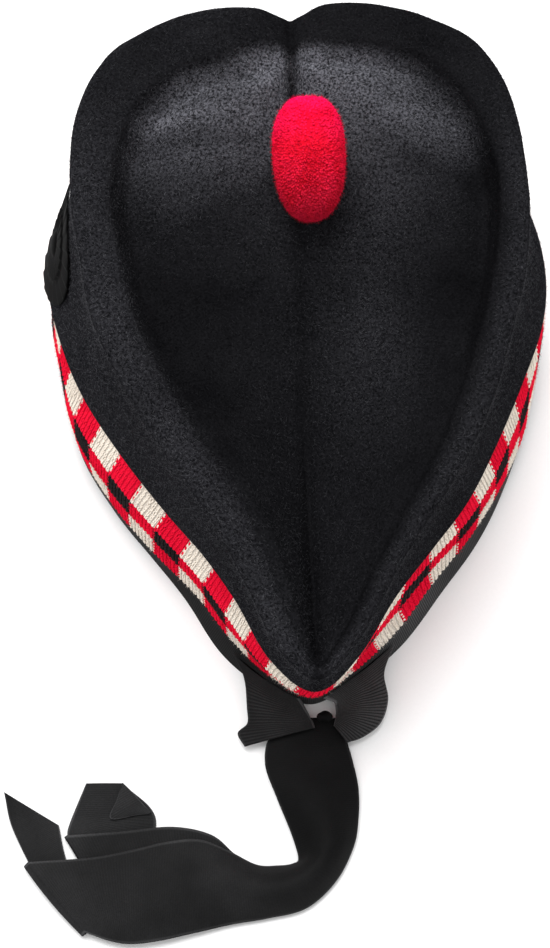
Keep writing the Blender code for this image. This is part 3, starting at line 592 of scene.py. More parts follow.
def frame_place():
    """Where the middle of the cap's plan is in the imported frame, read from the box of the binding."""
    cut = sections(places(CAD_COLUMNS))
    low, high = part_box("binding")
    face = np.concatenate([band_ring(cut, height, 0.0) for height in (BINDING_ROUND, BINDING_HEIGHT)])
    return np.array([high.x - face[:, 0].max(), low.y - face[:, 1].min(), 0.0])


PLACE = frame_place()


def add_object(name, data):
    """A new object in the scene that carries the data."""
    obj = bpy.data.objects.new(name, data)
    bpy.context.scene.collection.objects.link(obj)
    return obj


def make_object(name, points, faces, materials, indices=None, merge=0.0, painted_light=None):
    """A smooth mesh object from points in the cap's own plan and sets of faces; painted_light is how much
    light or shade is painted into the colour at each point."""
    mesh = bpy.data.meshes.new(name)
    points = np.asarray(points, float).reshape(-1, 3) + PLACE
    loops = np.concatenate([part.ravel() for part in faces]).astype(np.int32)
    sizes = np.concatenate([np.full(len(part), part.shape[1]) for part in faces])
    mesh.vertices.add(len(points))
    mesh.vertices.foreach_set("co", points.astype(np.float32).ravel())
    mesh.loops.add(len(loops))
    mesh.loops.foreach_set("vertex_index", loops)
    mesh.polygons.add(len(sizes))
    mesh.polygons.foreach_set("loop_start", (np.cumsum(sizes) - sizes).astype(np.int32))
    if indices is not None:
        mesh.polygons.foreach_set("material_index", np.asarray(indices, np.int32))
    if painted_light is not None:
        layer = mesh.attributes.new("painted_light", "FLOAT", "POINT")
        layer.data.foreach_set("value", np.asarray(painted_light, np.float32).ravel())
    mesh.update(calc_edges=True)
    mesh.shade_smooth()
    for each in materials:
        mesh.materials.append(each)
    if merge:
        join_points(mesh, merge)
    return add_object(name, mesh)


def join_points(mesh, reach):
    """Join points that meet, and turn the faces outwards."""
    work = bmesh.new()
    work.from_mesh(mesh)
    bmesh.ops.remove_doubles(work, verts=work.verts, dist=reach)
    bmesh.ops.recalc_face_normals(work, faces=work.faces)
    work.to_mesh(mesh)
    work.free()


def finish_piece(obj, slot, *nodes):
    """Ride on the body and stand for the nodes; the slot is not used."""
    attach(obj, "root")
    if nodes:
        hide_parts(*nodes)


def grid_quads(rows, columns, wrap_rows, wrap_columns):
    """Faces between neighbouring rows and columns of a grid of points."""
    r = np.arange(rows if wrap_rows else rows - 1)
    c = np.arange(columns if wrap_columns else columns - 1)
    r, c = np.meshgrid(r, c, indexing="ij")
    s, d = (r + 1) % rows, (c + 1) % columns
    corners = (r * columns + c, r * columns + d, s * columns + d, s * columns + c)
    return np.stack(corners, -1).reshape(-1, 4)


def end_caps(rows, columns):
    """The faces that close a tube of so many rows at its first row and its last."""
    around = np.arange(columns)[None]
    return [around, around[:, ::-1] + (rows - 1) * columns]


def tube_faces(first, sides, rings):
    """Faces between rings of a tube's points, the first ring starting at a point's number."""
    around = np.arange(sides)
    after = (around + 1) % sides
    starts = [first + sides * k for k in range(rings - 1)]
    return np.concatenate([
        np.stack([at + around, at + after, at + sides + after, at + sides + around], 1) for at in starts
    ])


def copied(faces, count, size):
    """The same faces for each of a count of like pieces that have so many points."""
    first = np.arange(count)[:, None, None] * size
    return (first + np.array(faces)[None]).reshape(-1, np.shape(faces)[1])


def ball_turns(rows, columns):
    """The polar angles of a ball's rows and the turns of its columns."""
    turn = np.linspace(0, 2 * math.pi, columns, endpoint=False)[None]
    return np.linspace(0.0, math.pi, rows)[:, None], turn


def grid_normals(rings, wrap_columns=True):
    """Unit normals of a grid of points."""
    if wrap_columns:
        across = np.roll(rings, -1, axis=1) - np.roll(rings, 1, axis=1)
    else:
        across = np.gradient(rings, axis=1)
    return unit_rows(np.cross(across, np.gradient(rings, axis=0)))


def uneven(points, waves):
    """A smooth height over each point, as the sum of noises of given height and count per metre."""
    flat = points.reshape(-1, 3)
    total = np.zeros(len(flat))
    for height, per_metre in waves:
        total += [height * noise.noise(Vector(p * per_metre)) for p in flat]
    return total.reshape(points.shape[:-1])


def crown_rings(cut):
    """Rings of the felt from the lip's top corner, over the ridge and in to the crease."""
    lip = band_ring(cut, BAND_TOP, LIP)
    up = np.array([0, 0, 1.0])
    ridge = np.stack([cut["ridge_x"], cut["ridge_y"], cut["ridge_z"]], 1)
    crease = np.stack([np.zeros(len(ridge)), cut["crease_y"], cut["crease_z"]], 1)
    level = (crease - ridge) * (1, 1, 0)
    reach = np.linalg.norm(level, axis=1)[:, None]
    inward = level / reach
    width = np.minimum(cut["width"][:, None], 0.5 * reach)
    groove = cut["groove"][:, None]
    rings = [lip]
    for level_share, up_share, hollow in SIDES:
        way = (ridge - lip) * (level_share, level_share, up_share)
        rings.append(lip + way - outward(lip) * hollow * SIDE_HOLLOW)
    for share, drop, sink in ROLL:
        rings.append(ridge + inward * share * width - up * (drop * RIDGE_DROP + sink * groove))
    foot = rings[-1]
    for share, lift in FLOOR:
        rings.append(foot + (crease - foot) * share + up * cut["rise"][:, None] * lift)
    rings.append(crease)
    return np.array(rings)


def felt_folds(x, y):
    """How deep in the soft folds places in the cap's plan are; this sinks the felt and also paints shade on
    it.
    """
    total = np.zeros(x.shape)
    for fold_x, fold_y, turn, width, length, change in FOLDS:
        along = (x - fold_x) * math.cos(turn) + (y - fold_y) * math.sin(turn)
        across = (y - fold_y) * math.cos(turn) - (x - fold_x) * math.sin(turn)
        total += change * np.exp(-((along / length) ** 2) - (across / width) ** 2)
    return np.minimum(total, FOLD_MOST)


def roll_place(rings, wall):
    """Where each of the felt's rings is, in steps of ROLL."""
    return (np.arange(len(rings)) - wall) / FELT_STEPS - len(SIDES) - 1


def felt_outer():
    """The felt's outer face in fine rings, from the rim to the crease, and how many rings are the wall."""
    cut = sections(places(FELT_COLUMNS, FELT_GATHER))
    coarse = crown_rings(cut)
    fine = catmull(coarse, np.linspace(0, len(coarse) - 1, FELT_STEPS * (len(coarse) - 1) + 1), False)
    lip_foot = BAND_TOP - LIP_HEIGHT
    wall_heights = np.linspace(BINDING_HEIGHT + GAP, lip_foot - GAP, WALL_ROWS)
    wall = [band_ring(cut, RIBBON + GAP, -(RIBBON + GAP))]
    wall += [band_ring(cut, z, -(KNIT + GAP)) for z in wall_heights]
    wall += [band_ring(cut, lip_foot + z, out) for z, out in LIP_PROFILE]
    rings = np.concatenate([wall, fine])
    normal = grid_normals(rings)
    normal[-1] = (0.0, 0.0, 1.0)
    free = np.clip((np.arange(len(rings)) - len(wall)) / FREE_RINGS, 0, 1)[:, None]
    height = uneven(rings, UNEVEN) * free
    rings = rings + normal * height[:, :, None]
    place = roll_place(rings, len(wall))
    inner = np.clip(place - CREASE_STEP, 0, 1)[:, None]
    over = np.interp(place, NOTCH_STEPS, (0.0, 1.0, 1.0, 0.0))[:, None] * (rings[:, :, 1] > 0)
    dent = CREASE_DEPTH * inner * bump(rings[:, :, 0], CREASE_WIDTH)
    notch = NOTCH_DEPTH * over * bump(rings[:, :, 0], NOTCH_WIDTH)
    rings[:, :, 2] -= dent + notch + FOLD_DEPTH * inner * felt_folds(rings[:, :, 0], rings[:, :, 1])
    return rings, len(wall), cut


def felt_inner(rings, wall, cut):
    """The felt's inner face: the outer one moved in by its thickness."""
    narrow = np.minimum(cut["width"], np.roll(cut["width"][::-1], 1))
    thick = np.minimum(FELT, NARROW_SHARE * narrow)[:, None]
    inner = rings - grid_normals(rings) * thick
    for r in range(wall):
        z = rings[r, 0, 2]
        face = band_ring(cut, z, 0.0)
        inner[r] = face - outward(face) * (KNIT + GAP + FELT)
    inner[-1] = rings[-1] - np.array([0, 0, 1.0]) * thick
    keep = np.r_[0:wall, wall + 2 : len(rings) - 1 : INNER_STEP, len(rings) - 1]
    return inner[keep]


def felt_painted_light(rings, wall):
    """Painted light on the felt, where the nap would catch the light: most on the front of the crown's floor,
    fading to the rear, with painted shade in the soft folds and along the crease.
    """
    place = roll_place(rings, wall)
    on_floor = np.interp(place, GLEAM_EDGE, (0.0, 1.0))
    on_floor = (on_floor * on_floor * (3 - 2 * on_floor))[:, None]
    edges = (*RIDGE_EDGE, FRONT_EDGE)
    left, right, ahead = (np.interp(place, edge, (1.0, 0.0))[:, None] for edge in edges)
    x, y = rings[:, :, 0], rings[:, :, 1]
    front = np.interp(GLEAM_FRONT - y, GLEAM_BACK, GLEAM_SHARES) * np.interp(x, GLEAM_SIDES, SIDE_SHARES)
    middle = GLEAM_MIDDLE * bump(x, MIDDLE_HALF)
    beside = bump(x - BESIDE_PLACE[0], BESIDE_SIZE[0]) * bump(y - BESIDE_PLACE[1], BESIDE_SIZE[1])
    forward = np.interp(y, RIDGE_FRONT, (0.0, 1.0))
    beyond = np.where(x < 0, left * GLEAM_RIDGE[0], right * GLEAM_RIDGE[1])
    most = np.interp(x, (-AHEAD_TURN, AHEAD_TURN), RIDGE_AHEAD)
    base, over, outside = FRONT_RIDGE
    ridge = beyond * (1 - forward) + forward * (base + most * (over + outside * ahead)) * (1 - on_floor)
    # The soft folds paint shade on the floor's painted light.
    floor = on_floor * (front + middle + GLEAM_BESIDE * beside) * (1 - felt_folds(x, y))
    # Painted shade along the crease line.
    return (floor + ridge) * (1 - CREASE_SHADE * bump(x, CREASE_WIDTH))


def make_felt(material):
    """The felt cap as one hollow wall."""
    outer, wall, cut = felt_outer()
    inner = felt_inner(outer, wall, cut)
    rings = np.concatenate([outer[::-1], inner])
    # Painted light on the felt's outer face, none on its inner face.
    painted_light = np.concatenate([felt_painted_light(outer, wall)[::-1], np.zeros(inner.shape[:2])])
    faces = grid_quads(len(rings), FELT_COLUMNS, False, True)
    obj = make_object("felt_cap_felt", rings, [faces], [material], merge=JOIN, painted_light=painted_light)
    finish_piece(obj, "felt", "felt_cap")
    return outer, wall


def surface_spots(rings, count, rng):
    """Random places on a grid of rings, evenly by area, with the face's normal and number."""
    a, b = rings[:-1], np.roll(rings, -1, axis=1)[:-1]
    c, d = np.roll(rings, -1, axis=1)[1:], rings[1:]
    area = np.linalg.norm(np.cross(c - a, d - b), axis=2)
    pick = rng.choice(area.size, count, p=area.ravel() / area.sum())
    a, b, c, d = (corner.reshape(-1, 3)[pick] for corner in (a, b, c, d))
    u, v = rng.random((2, count, 1))
    spot = (a * (1 - u) + b * u) * (1 - v) + (d * (1 - u) + c * u) * v
    return spot, unit_rows(np.cross(c - a, d - b)), pick


def fibre_arrays(roots, ways, ups, lengths, radius):
    """Points and faces of thin fibres that start at roots, run along ways to a point and lift along ups."""
    across = np.cross(ways, ups)
    corners = []
    for turn in (0, 2 * math.pi / 3, 4 * math.pi / 3):
        corners.append(roots + (across * math.cos(turn) + ups * math.sin(turn)) * radius)
    corners.append(roots + (ways + ups * FIBRE_LIFT) * lengths[:, None])
    spike = [(0, 1, 3), (1, 2, 3), (2, 0, 3), (0, 2, 1)]
    return np.stack(corners, 1).reshape(-1, 3), copied(spike, len(roots), len(corners))


def make_nap(rings, wall, material):
    """Fibres of wool that lie over the felt and stand off its edges."""
    rng = np.random.default_rng(NAP_SEED)
    roots, normals, pick = surface_spots(rings[wall - 2 :], NAP, rng)
    ways = rng.normal(size=roots.shape)
    ways -= normals * (ways * normals).sum(1)[:, None]
    ways = unit_rows(ways)
    lift = rng.uniform(*NAP_LIFT, (NAP, 1))
    ways = ways * np.sqrt(1 - lift**2) + normals * lift
    lengths = NAP_LENGTH * rng.uniform(*FIBRE_LENGTHS, NAP)
    points, tris = fibre_arrays(roots - normals * NAP_RADIUS, ways, normals, lengths, NAP_RADIUS)
    # The fibres carry the painted light of the felt beneath them.
    painted_light = np.repeat(felt_painted_light(rings, wall)[wall - 2 : -1].ravel()[pick] ** NAP_FADE, 4)
    finish_piece(make_object("felt_nap", points, [tris], [material], painted_light=painted_light), "felt")


def band_face():
    """The band's face as a fine grid of points, and the way out of it at each of them."""
    cut = sections(places(WALES * FACE_COLUMNS))
    heights = np.arange(FACE_ROWS + 1) / FACE_ROWS * BAND_TOP
    rings = np.array([band_ring(cut, height, 0.0) for height in heights])
    return rings, grid_normals(rings)


def drawn(wale, height):
    """Where wales lie round the band at heights, in even wales."""
    away = (np.asarray(wale) + WALES / 2) % WALES - WALES / 2
    share = np.minimum(np.abs(away) / DRAWN_REACH, 1.0)
    up = np.asarray(height) / BAND_TOP
    hang = HANG * 4 * up * (1 - up) * bump(away - HANG_PLACE, HANG_LENGTH)
    return wale + np.sign(away) * DRAWN * np.sin(math.pi * share) - hang


def band_points(face, wale, height, out):
    """Points over the band's face at places in wales round it, heights and ways out of it."""
    rings, normals = face
    column = drawn(wale, height) * FACE_COLUMNS % rings.shape[1]
    row = np.clip(np.asarray(height) / BAND_TOP * FACE_ROWS, 0, FACE_ROWS - 0.001)
    c, r = column.astype(int), row.astype(int)
    d = (c + 1) % rings.shape[1]
    u, v = (column - c)[..., None], (row - r)[..., None]

    def read(grid):
        low, high = (grid[k, c] * (1 - u) + grid[k, d] * u for k in (r, r + 1))
        return low * (1 - v) + high * v

    return read(rings) + unit_rows(read(normals)) * np.asarray(out)[..., None]


def check_colour(wale, row):
    """0 for red, 1 for white and 2 for black: columns of red, black, red and of white, red, white."""
    check = np.floor((wale + CHECK_SHIFT) / WALES_PER_CHECK).astype(int) % CHECKS
    middle = row == 1
    return np.where(check % 2 == 0, np.where(middle, 2, 0), np.where(middle, 0, 1))


def band_span():
    """The lowest and highest height of the knit, and the height of one course."""
    low = BINDING_HEIGHT
    course = (BAND_TOP - low) / (CHECK_ROWS * COURSES_PER_CHECK)
    high = BAND_TOP - LIP_HEIGHT + GAP
    return low, high, course


def stitch_legs(face, wale, row, side, rng):
    """Points of one slanting leg of yarn for each stitch: two ends, and rings of corners between them."""
    low, high, course = band_span()
    sway = rng.normal(0, LEG_SWAY, len(wale))
    depth = YARN * rng.uniform(*LEG_DEPTHS, len(wale))
    rings = []
    for k, (up, over, bulge) in enumerate(LEG_SPINE):
        w = wale + side * over + sway
        z = np.clip(low + (row + up) * course, low - LEG_TUCK, high)
        if k in (0, len(LEG_SPINE) - 1):
            rings.append(band_points(face, w, z, bulge * depth)[:, None])
            continue
        slant = LEG_SLANT * side * course
        top, foot = bulge * depth, bulge * depth - LEG_SINK * YARN
        corners = ((0.0, 0.0, top), (LEG_HALF, -slant, foot), (-LEG_HALF, slant, foot))
        rings.append(np.stack([band_points(face, w + a, z + b, out) for a, b, out in corners], 1))
    return np.concatenate(rings, 1)


def leg_faces():
    """The faces of one leg over its points."""
    around = np.arange(LEG_SIDES)
    after = (around + 1) % LEG_SIDES
    rings = len(LEG_SPINE) - 2
    top = 1 + LEG_SIDES * (rings - 1)
    ends = [
        np.stack([0 * around, 1 + after, 1 + around], 1),
        np.stack([0 * around + top + LEG_SIDES, top + around, top + after], 1),
    ]
    return tube_faces(1, LEG_SIDES, rings), np.concatenate(ends)


def make_knit(yarns, backings):
    """The band: two legs of yarn for each stitch, over a backing of the same checks."""
    face = band_face()
    low, high, course = band_span()
    courses = int(math.ceil((high - low) / course))
    wale, row = np.meshgrid(np.arange(WALES, dtype=float), np.arange(courses), indexing="ij")
    wale, row = wale.ravel(), row.ravel()
    rng = np.random.default_rng(KNIT_SEED)
    legs = []
    colours = []
    for side in (-1, 1):
        legs.append(stitch_legs(face, wale, row, side, rng))
        # Every other course, the yarns are linked half a wale into the next check.
        linked = (row % 2 == 1) & (side < 0)
        colours.append(check_colour(wale - linked, row // COURSES_PER_CHECK))
    points, colour = np.concatenate(legs), np.concatenate(colours)
    tier = np.tile(row // COURSES_PER_CHECK, 2)
    quads, tris = leg_faces()
    for t in range(CHECK_ROWS):
        for c, name in enumerate(COLOURS):
            chosen = points[(colour == c) & (tier == t)]
            if not len(chosen):
                continue
            faces = [copied(part, len(chosen), points.shape[1]) for part in (quads, tris)]
            finish_piece(make_object(f"knit_{name}_{t + 1}", chosen, faces, [yarns[c]]), "knit")
    make_backing(face, backings, courses)
    make_fuzz(face, yarns, rng)


def make_fuzz(face, yarns, rng):
    """Loose fibres of wool that stand off the stitches, in the colours of their checks."""
    low, high, course = band_span()
    wale, height = rng.uniform(0, WALES, FUZZ), rng.uniform(low, high, FUZZ)
    roots = band_points(face, wale, height, np.full(FUZZ, FUZZ_ROOT))
    normals = unit_rows(roots - band_points(face, wale, height, np.zeros(FUZZ)))
    ways = unit_rows(rng.normal(size=roots.shape) + FUZZ_LIFT * normals)
    ups = unit_rows(np.cross(ways, rng.normal(size=roots.shape)))
    lengths = FUZZ_LENGTH * rng.uniform(*FIBRE_LENGTHS, FUZZ)
    row = ((height - low) / course).astype(int) // COURSES_PER_CHECK
    colour = check_colour(np.round(wale), row)
    for c, name in enumerate(COLOURS):
        own = colour == c
        points, tris = fibre_arrays(roots[own], ways[own], ups[own], lengths[own], FUZZ_RADIUS)
        finish_piece(make_object(f"knit_fuzz_{name}", points, [tris], [yarns[c]]), "knit")


def make_backing(face, backings, courses):
    """The closed ring of knit behind the stitches, each face in the colour of its stitch."""
    low, high, course = band_span()
    heights = np.minimum(low + course * np.arange(courses + 1), high - BACKING_INSET)
    heights[0] = low + BACKING_INSET
    wale = np.arange(WALES) - 0.5
    rings = [band_points(face, wale, np.full(WALES, z), -BACKING_DEPTH) for z in heights]
    back = -KNIT + BACKING_INSET
    rings += [band_points(face, wale, np.full(WALES, z), back) for z in (heights[-1], heights[0])]
    faces = grid_quads(len(rings), WALES, True, True)
    row = np.minimum(np.arange(len(rings)), courses - 1) // COURSES_PER_CHECK
    colour = np.concatenate([check_colour(np.arange(WALES, dtype=float), r) for r in row])
    obj = make_object("knit_backing", np.array(rings), [faces], backings, indices=colour)
    finish_piece(obj, "knit", "dicing_band")


def make_binding(material):
    """The binding: a ribbed ribbon folded round the felt's lower edge, open at the top."""
    columns = BINDING_RIBS * RIB_STEPS
    cut = sections(places(columns))
    rib = 0.5 * np.cos(2 * math.pi * np.arange(columns) / RIB_STEPS) - 0.5
    rings = []
    for z, out, share in BINDING_OUTLINE:
        face = -1.0 if out < BINDING_INNER else 1.0
        ring = band_ring(cut, z, 0.0)
        rings.append(ring + outward(ring) * (out + face * share * rib * 2 * RIB_DEPTH)[:, None])
    faces = grid_quads(len(rings), columns, True, True)
    rings = np.array(rings)
    # Painted highlights on the ribs, stronger on the right.
    painted_light = np.interp(rings[:, :, 0], (-BINDING_TURN, BINDING_TURN), BINDING_SHINE) * (1 + rib)
    obj = make_object("binding_ribbon", rings, [faces], [material], painted_light=painted_light)
    finish_piece(obj, "ribbon", "binding")


def toorie_surface(unit):
    """Points of the toorie's egg, for points of a unit sphere, about its own foot."""
    height = np.maximum((1 + unit[:, 2]) / 2, TOORIE_FOOT)
    full = np.sin(0.5 * math.pi * np.minimum(height * TOORIE_TAPER, 1.0))
    taper = TOORIE_NARROW + (1 - TOORIE_NARROW) * full
    level = np.maximum(np.hypot(unit[:, 0], unit[:, 1]), 1e-6)
    turn = np.arctan2(unit[:, 1], unit[:, 0])
    across, along = np.cos(turn), np.sin(turn)
    square = (np.abs(across) ** TOORIE_SQUARE + np.abs(along) ** TOORIE_SQUARE) ** (-1 / TOORIE_SQUARE)
    spread = taper * square * level**TOORIE_FULL
    return np.stack([
        spread * unit[:, 0] * TOORIE_WIDTH / 2 * (1 + TOORIE_FLARE * along),
        spread * unit[:, 1] * TOORIE_LENGTH / 2 + (height - TOORIE_PIVOT) * TOORIE_TILT,
        (height - TOORIE_FOOT) * TOORIE_HEIGHT,
    ], 1)


def sphere_spots(count):
    """Even directions over a sphere."""
    turn = math.pi * (3 - math.sqrt(5))
    k = np.arange(count)
    z = 1 - 2 * (k + 0.5) / count
    level = np.sqrt(1 - z * z)
    return np.stack([level * np.cos(k * turn), level * np.sin(k * turn), z], 1)


def toorie_normals(unit):
    """The egg's outward normals, from nearby points."""
    other = np.where(np.abs(unit[:, 2:3]) < 0.9, [[0, 0, 1.0]], [[1.0, 0, 0]])
    a = unit_rows(np.cross(unit, other))
    b = np.cross(unit, a)
    step = 0.01
    ends = [[toorie_surface(unit_rows(unit + turn * way)) for turn in (step, -step)] for way in (a, b)]
    normal = unit_rows(np.cross(*(ahead - behind for ahead, behind in ends)))
    return normal * np.sign((normal * unit).sum(1))[:, None]


def toorie_place():
    """How far the egg moves to fill its CAD node's box."""
    egg = toorie_surface(sphere_spots(EGG_SPOTS))
    low, high = (np.array(corner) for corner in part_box("toorie"))
    return (low + high) / 2 - (egg.min(0) + egg.max(0)) / 2 - PLACE


def toorie_painted_light(points):
    """How much light is painted on the toorie's wool at points about its foot: most at its top and front,
    painted shade at its rear and foot.
    """
    return np.clip(0.5 + (points @ TOORIE_LIT - TOORIE_MIDDLE) / TOORIE_FADE, 0, 1)


def make_core(place, material):
    """The body of the toorie under the ends of its yarn."""
    polar, turn = ball_turns(*CORE_GRID)
    ball = [np.sin(polar) * np.cos(turn), np.sin(polar) * np.sin(turn), np.cos(polar) + 0 * turn]
    flat = np.stack(ball, -1).reshape(-1, 3)
    core = toorie_surface(flat) - toorie_normals(flat) * CORE_DEPTH
    faces = grid_quads(*CORE_GRID, False, True)
    obj = make_object("toorie_core", core + place, [faces], [material], merge=JOIN, painted_light=toorie_painted_light(core))
    finish_piece(obj, "wool", "toorie")


def make_ends(place, rng, material):
    """The cut ends of the toorie's yarn, and the places and normals that they stand at."""
    unit = unit_rows(sphere_spots(END_COUNT) + rng.normal(0, END_SCATTER, (END_COUNT, 3)))
    surface, normal = toorie_surface(unit) + place, toorie_normals(unit)
    lean = unit_rows(normal + rng.normal(0, END_LEAN, normal.shape))
    side = unit_rows(np.cross(lean, rng.normal(size=lean.shape)))
    third = np.cross(lean, side)
    tip = surface + normal * rng.uniform(*END_SINK, (END_COUNT, 1))
    spread = END_RADIUS * rng.uniform(*END_RADII, (END_COUNT, 1))
    rings = []
    for back, scale in END_RINGS:
        for turn in np.arange(END_SIDES) * 2 * math.pi / END_SIDES:
            across = side * math.cos(turn) + third * math.sin(turn)
            rings.append(tip - lean * END_LENGTH * back + across * spread * scale)
    points = np.stack([*rings, tip], 1)
    around = np.arange(END_SIDES)
    last = END_SIDES * (len(END_RINGS) - 1)
    quads = np.concatenate([around[None, ::-1], tube_faces(0, END_SIDES, len(END_RINGS))])
    after = (around + 1) % END_SIDES
    tris = np.stack([last + around, last + after, 0 * around + last + END_SIDES], 1)
    faces = [copied(part, END_COUNT, points.shape[1]) for part in (quads, tris)]
    obj = make_object("toorie_ends", points, faces, [material], painted_light=toorie_painted_light(points - place))
    finish_piece(obj, "wool")
    return surface, normal


def make_toorie(pile, core_material):
    """The toorie: a core, the cut ends of its yarn over it, and loose fibres round it."""
    rng = np.random.default_rng(TOORIE_SEED)
    place = toorie_place()
    make_core(place, core_material)
    surface, normal = make_ends(place, rng, pile)
    pick = rng.choice(END_COUNT, FLUFF)
    ways = unit_rows(normal[pick] + rng.normal(0, FLUFF_SPREAD, (FLUFF, 3)))
    ups = unit_rows(np.cross(ways, rng.normal(size=ways.shape)))
    lengths = rng.uniform(*FLUFF_LENGTHS, FLUFF)
    points, tris = fibre_arrays(surface[pick], ways, ups, lengths, FLUFF_RADIUS)
    obj = make_object("toorie_fluff", points, [tris], [pile], painted_light=toorie_painted_light(points - place))
    finish_piece(obj, "wool")


def cockade_plane():
    """The CAD cockade's middle, axes and bend, fitted to its points."""
    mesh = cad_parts["cockade"].data
    points = np.array([vert.co for vert in mesh.vertices])
    middle = points.mean(0)
    out = np.linalg.svd(points - middle)[2][2]
    out *= -np.sign(out[0])
    along = np.cross([0, 0, 1.0], out)
    along /= -np.linalg.norm(along)
    rise = np.cross(along, out)
    rise *= np.sign(rise[2])
    a, b, h = ((points - middle) @ axis for axis in (along, rise, out))

    def terms(a, b):
        return np.stack([np.ones_like(a), a, b, a * a, a * b, b * b], -1)

    fit = np.linalg.lstsq(terms(a, b), h, rcond=None)[0]
    radius = np.hypot(a, b).max()
    return middle, along, rise, out, radius, lambda a, b: terms(a, b) @ fit


def make_cockade(material):
    """The cockade: two rounds of pleated ribbon and a covered button, bent to the side of the cap."""
    middle, along, rise, out, radius, bend = cockade_plane()
    columns = PLEATS * PLEAT_COLUMNS
    turn = np.linspace(0, 2 * math.pi, columns, endpoint=False)
    saw = (np.arange(columns) % PLEAT_COLUMNS) / PLEAT_COLUMNS
    pleat = np.where(saw < PLEAT_TOP, saw / PLEAT_TOP, (1 - saw) / (1 - PLEAT_TOP)) - 0.5
    rings = []
    for share, height, folds in COCKADE_PROFILE:
        reach = radius * share * (1 + PLEAT_REACH * folds * pleat)
        a, b = reach * np.cos(turn), reach * np.sin(turn)
        h = bend(a, b) + height + PLEAT_DEPTH * folds * pleat
        rings.append(middle - PLACE + a[:, None] * along + b[:, None] * rise + h[:, None] * out)
    faces = [grid_quads(len(rings), columns, False, True), *end_caps(len(rings), columns)]
    obj = make_object("cockade_ribbon", np.array(rings), faces, [material], merge=SMALL_JOIN)
    finish_piece(obj, "ribbon", "cockade")


def rulings(table, at):
    """Rows of points across a ribbon's middle face at places down a table of rulings."""
    layer = RIBBON + GAP
    rule = catmull(np.array(table), at, False)
    corner = np.array([KNOT_X, KNOT_Y, FLOOR_CLEAR + 0.5 * RIBBON])
    unit = np.array([RIBBON_WIDTH, RIBBON_WIDTH, layer])
    left = corner + rule[:, 0:3] * unit
    right = corner + rule[:, 3:6] * unit
    share = np.array(ACROSS)[None, :, None]
    rows = left[:, None] * (1 - share) + right[:, None] * share
    rows[:, :, 2] += rule[:, 6:7] * RIBBON_WIDTH * 4 * share[:, :, 0] * (1 - share[:, :, 0])
    return rows


def even_rulings(table):
    """Rows of a table of rulings, RIB_STEPS of them to each rib of the ribbon."""
    dense = np.linspace(0, len(table) - 1, RULING_STEPS * (len(table) - 1) + 1)
    run = run_along(rulings(table, dense)[:, MIDDLE])
    rows = max(4, int(round(run[-1] / RIB_PITCH * RIB_STEPS)))
    return rulings(table, np.interp(np.linspace(0, run[-1], rows + 1), run, dense))


def folded(run, back):
    """A run of rows and the rows that lie under it, joined by a roll along the fold between them."""
    top, low = run[-1], back[0]
    line = top[-1] - top[0]
    away = np.array([line[1], -line[0], 0.0]) / math.hypot(line[0], line[1])
    if away @ (top[0] - run[-2][0]) < 0:
        away = -away
    radius = 0.5 * (top[:, 2] - low[:, 2])
    roll = []
    for turn in np.linspace(0, math.pi, FOLD_STEPS + 2)[1:-1]:
        row = top + away * (radius * math.sin(turn))[:, None]
        row[:, 2] = low[:, 2] + radius * (1 + math.cos(turn))
        roll.append(row)
    return np.concatenate([run, roll, back])


def bow_rows(table):
    """Rows of a ribbon of the bow, its first rows eased on to the outside of the binding."""
    rows = even_rulings(table)
    rim = band_ring(sections(places(4 * CAD_COLUMNS)), BOW_RISE, GAP)
    shift = np.array([rim[np.argmin(np.hypot(*(rim - point)[:, :2].T))] for point in rows[0]]) - rows[0]
    shift[:, 2] = 0.0
    ease = np.clip(1 - np.arange(len(rows)) / (BOW_EASE * len(rows)), 0, 1)
    return rows + shift[None] * ease[:, None, None]


def ribbon_solid(rows):
    """A ribbon's closed wall round rows of points on its middle face, with its ribs and selvedges, and how
    low each row lies in the ribs."""
    normal = grid_normals(rows, wrap_columns=False)
    rib = 0.5 * np.cos(2 * math.pi * run_along(rows[:, MIDDLE]) / RIB_PITCH) - 0.5
    body = (FROM_EDGE > SELVEDGE).astype(float)[None]
    half = 0.5 * RIBBON_WALL + RIB_DEPTH * rib[:, None] * body + SELVEDGE_RISE * (1 - body)
    out = normal * half[:, :, None]
    return np.concatenate([rows + out, (rows - out)[:, ::-1]], axis=1), rib


def ribbon_object(name, look, rows, material):
    """One ribbon as a closed mesh, with painted highlights on its ribs and selvedges as its look says."""
    solid, rib = ribbon_solid(rows)
    count, ring = solid.shape[:2]
    faces = [grid_quads(count, ring, False, True), *end_caps(count, ring)]
    shine = SHINE[look]
    # Painted highlights on the ribs, by the ribbon's place, and along its selvedges.
    lit = np.interp(np.arange(count) / (count - 1), np.linspace(0, 1, len(shine)), shine)[:, None]
    near = np.interp(FROM_EDGE, (0.5 * SELVEDGE, SELVEDGE), (EDGE_SHINE, 0.0))
    edge = np.concatenate([near, near[::-1]])[None] * (EDGE_SHARES[0] + EDGE_SHARES[1] * lit)
    ribs = 1 + RIB_CONTRAST[look] * (0.5 + rib[:, None])
    return make_object(name, solid, faces, [material], painted_light=lit * ribs + edge)


def make_ribbons(material):
    """The tails and bows, each a sheet of cloth that stands for its CAD node, and the turned-over corner."""
    front = folded(even_rulings(TAIL_FRONT), even_rulings(RETURN_FRONT))
    back = folded(even_rulings(TAIL_BACK), even_rulings(RETURN_BACK))
    finish_piece(ribbon_object("tail_back_corner", "corner", even_rulings(FLAP_BACK), material), "ribbon")
    sheets = (
        ("tail_front", front, 1.0, ["tail_back"]),
        ("tail_back", back, 1.0, []),
        ("bow_left", bow_rows(BOW_LEFT), BOW_WIDTHS[0], ["tail_back"]),
        ("bow_right", bow_rows(BOW_RIGHT), BOW_WIDTHS[1], ["tail_back"]),
    )
    for node, rows, share, below in sheets:
        obj = ribbon_object(f"{node}_ribbon", node, rows, material)
        finish_piece(obj, "ribbon", node)


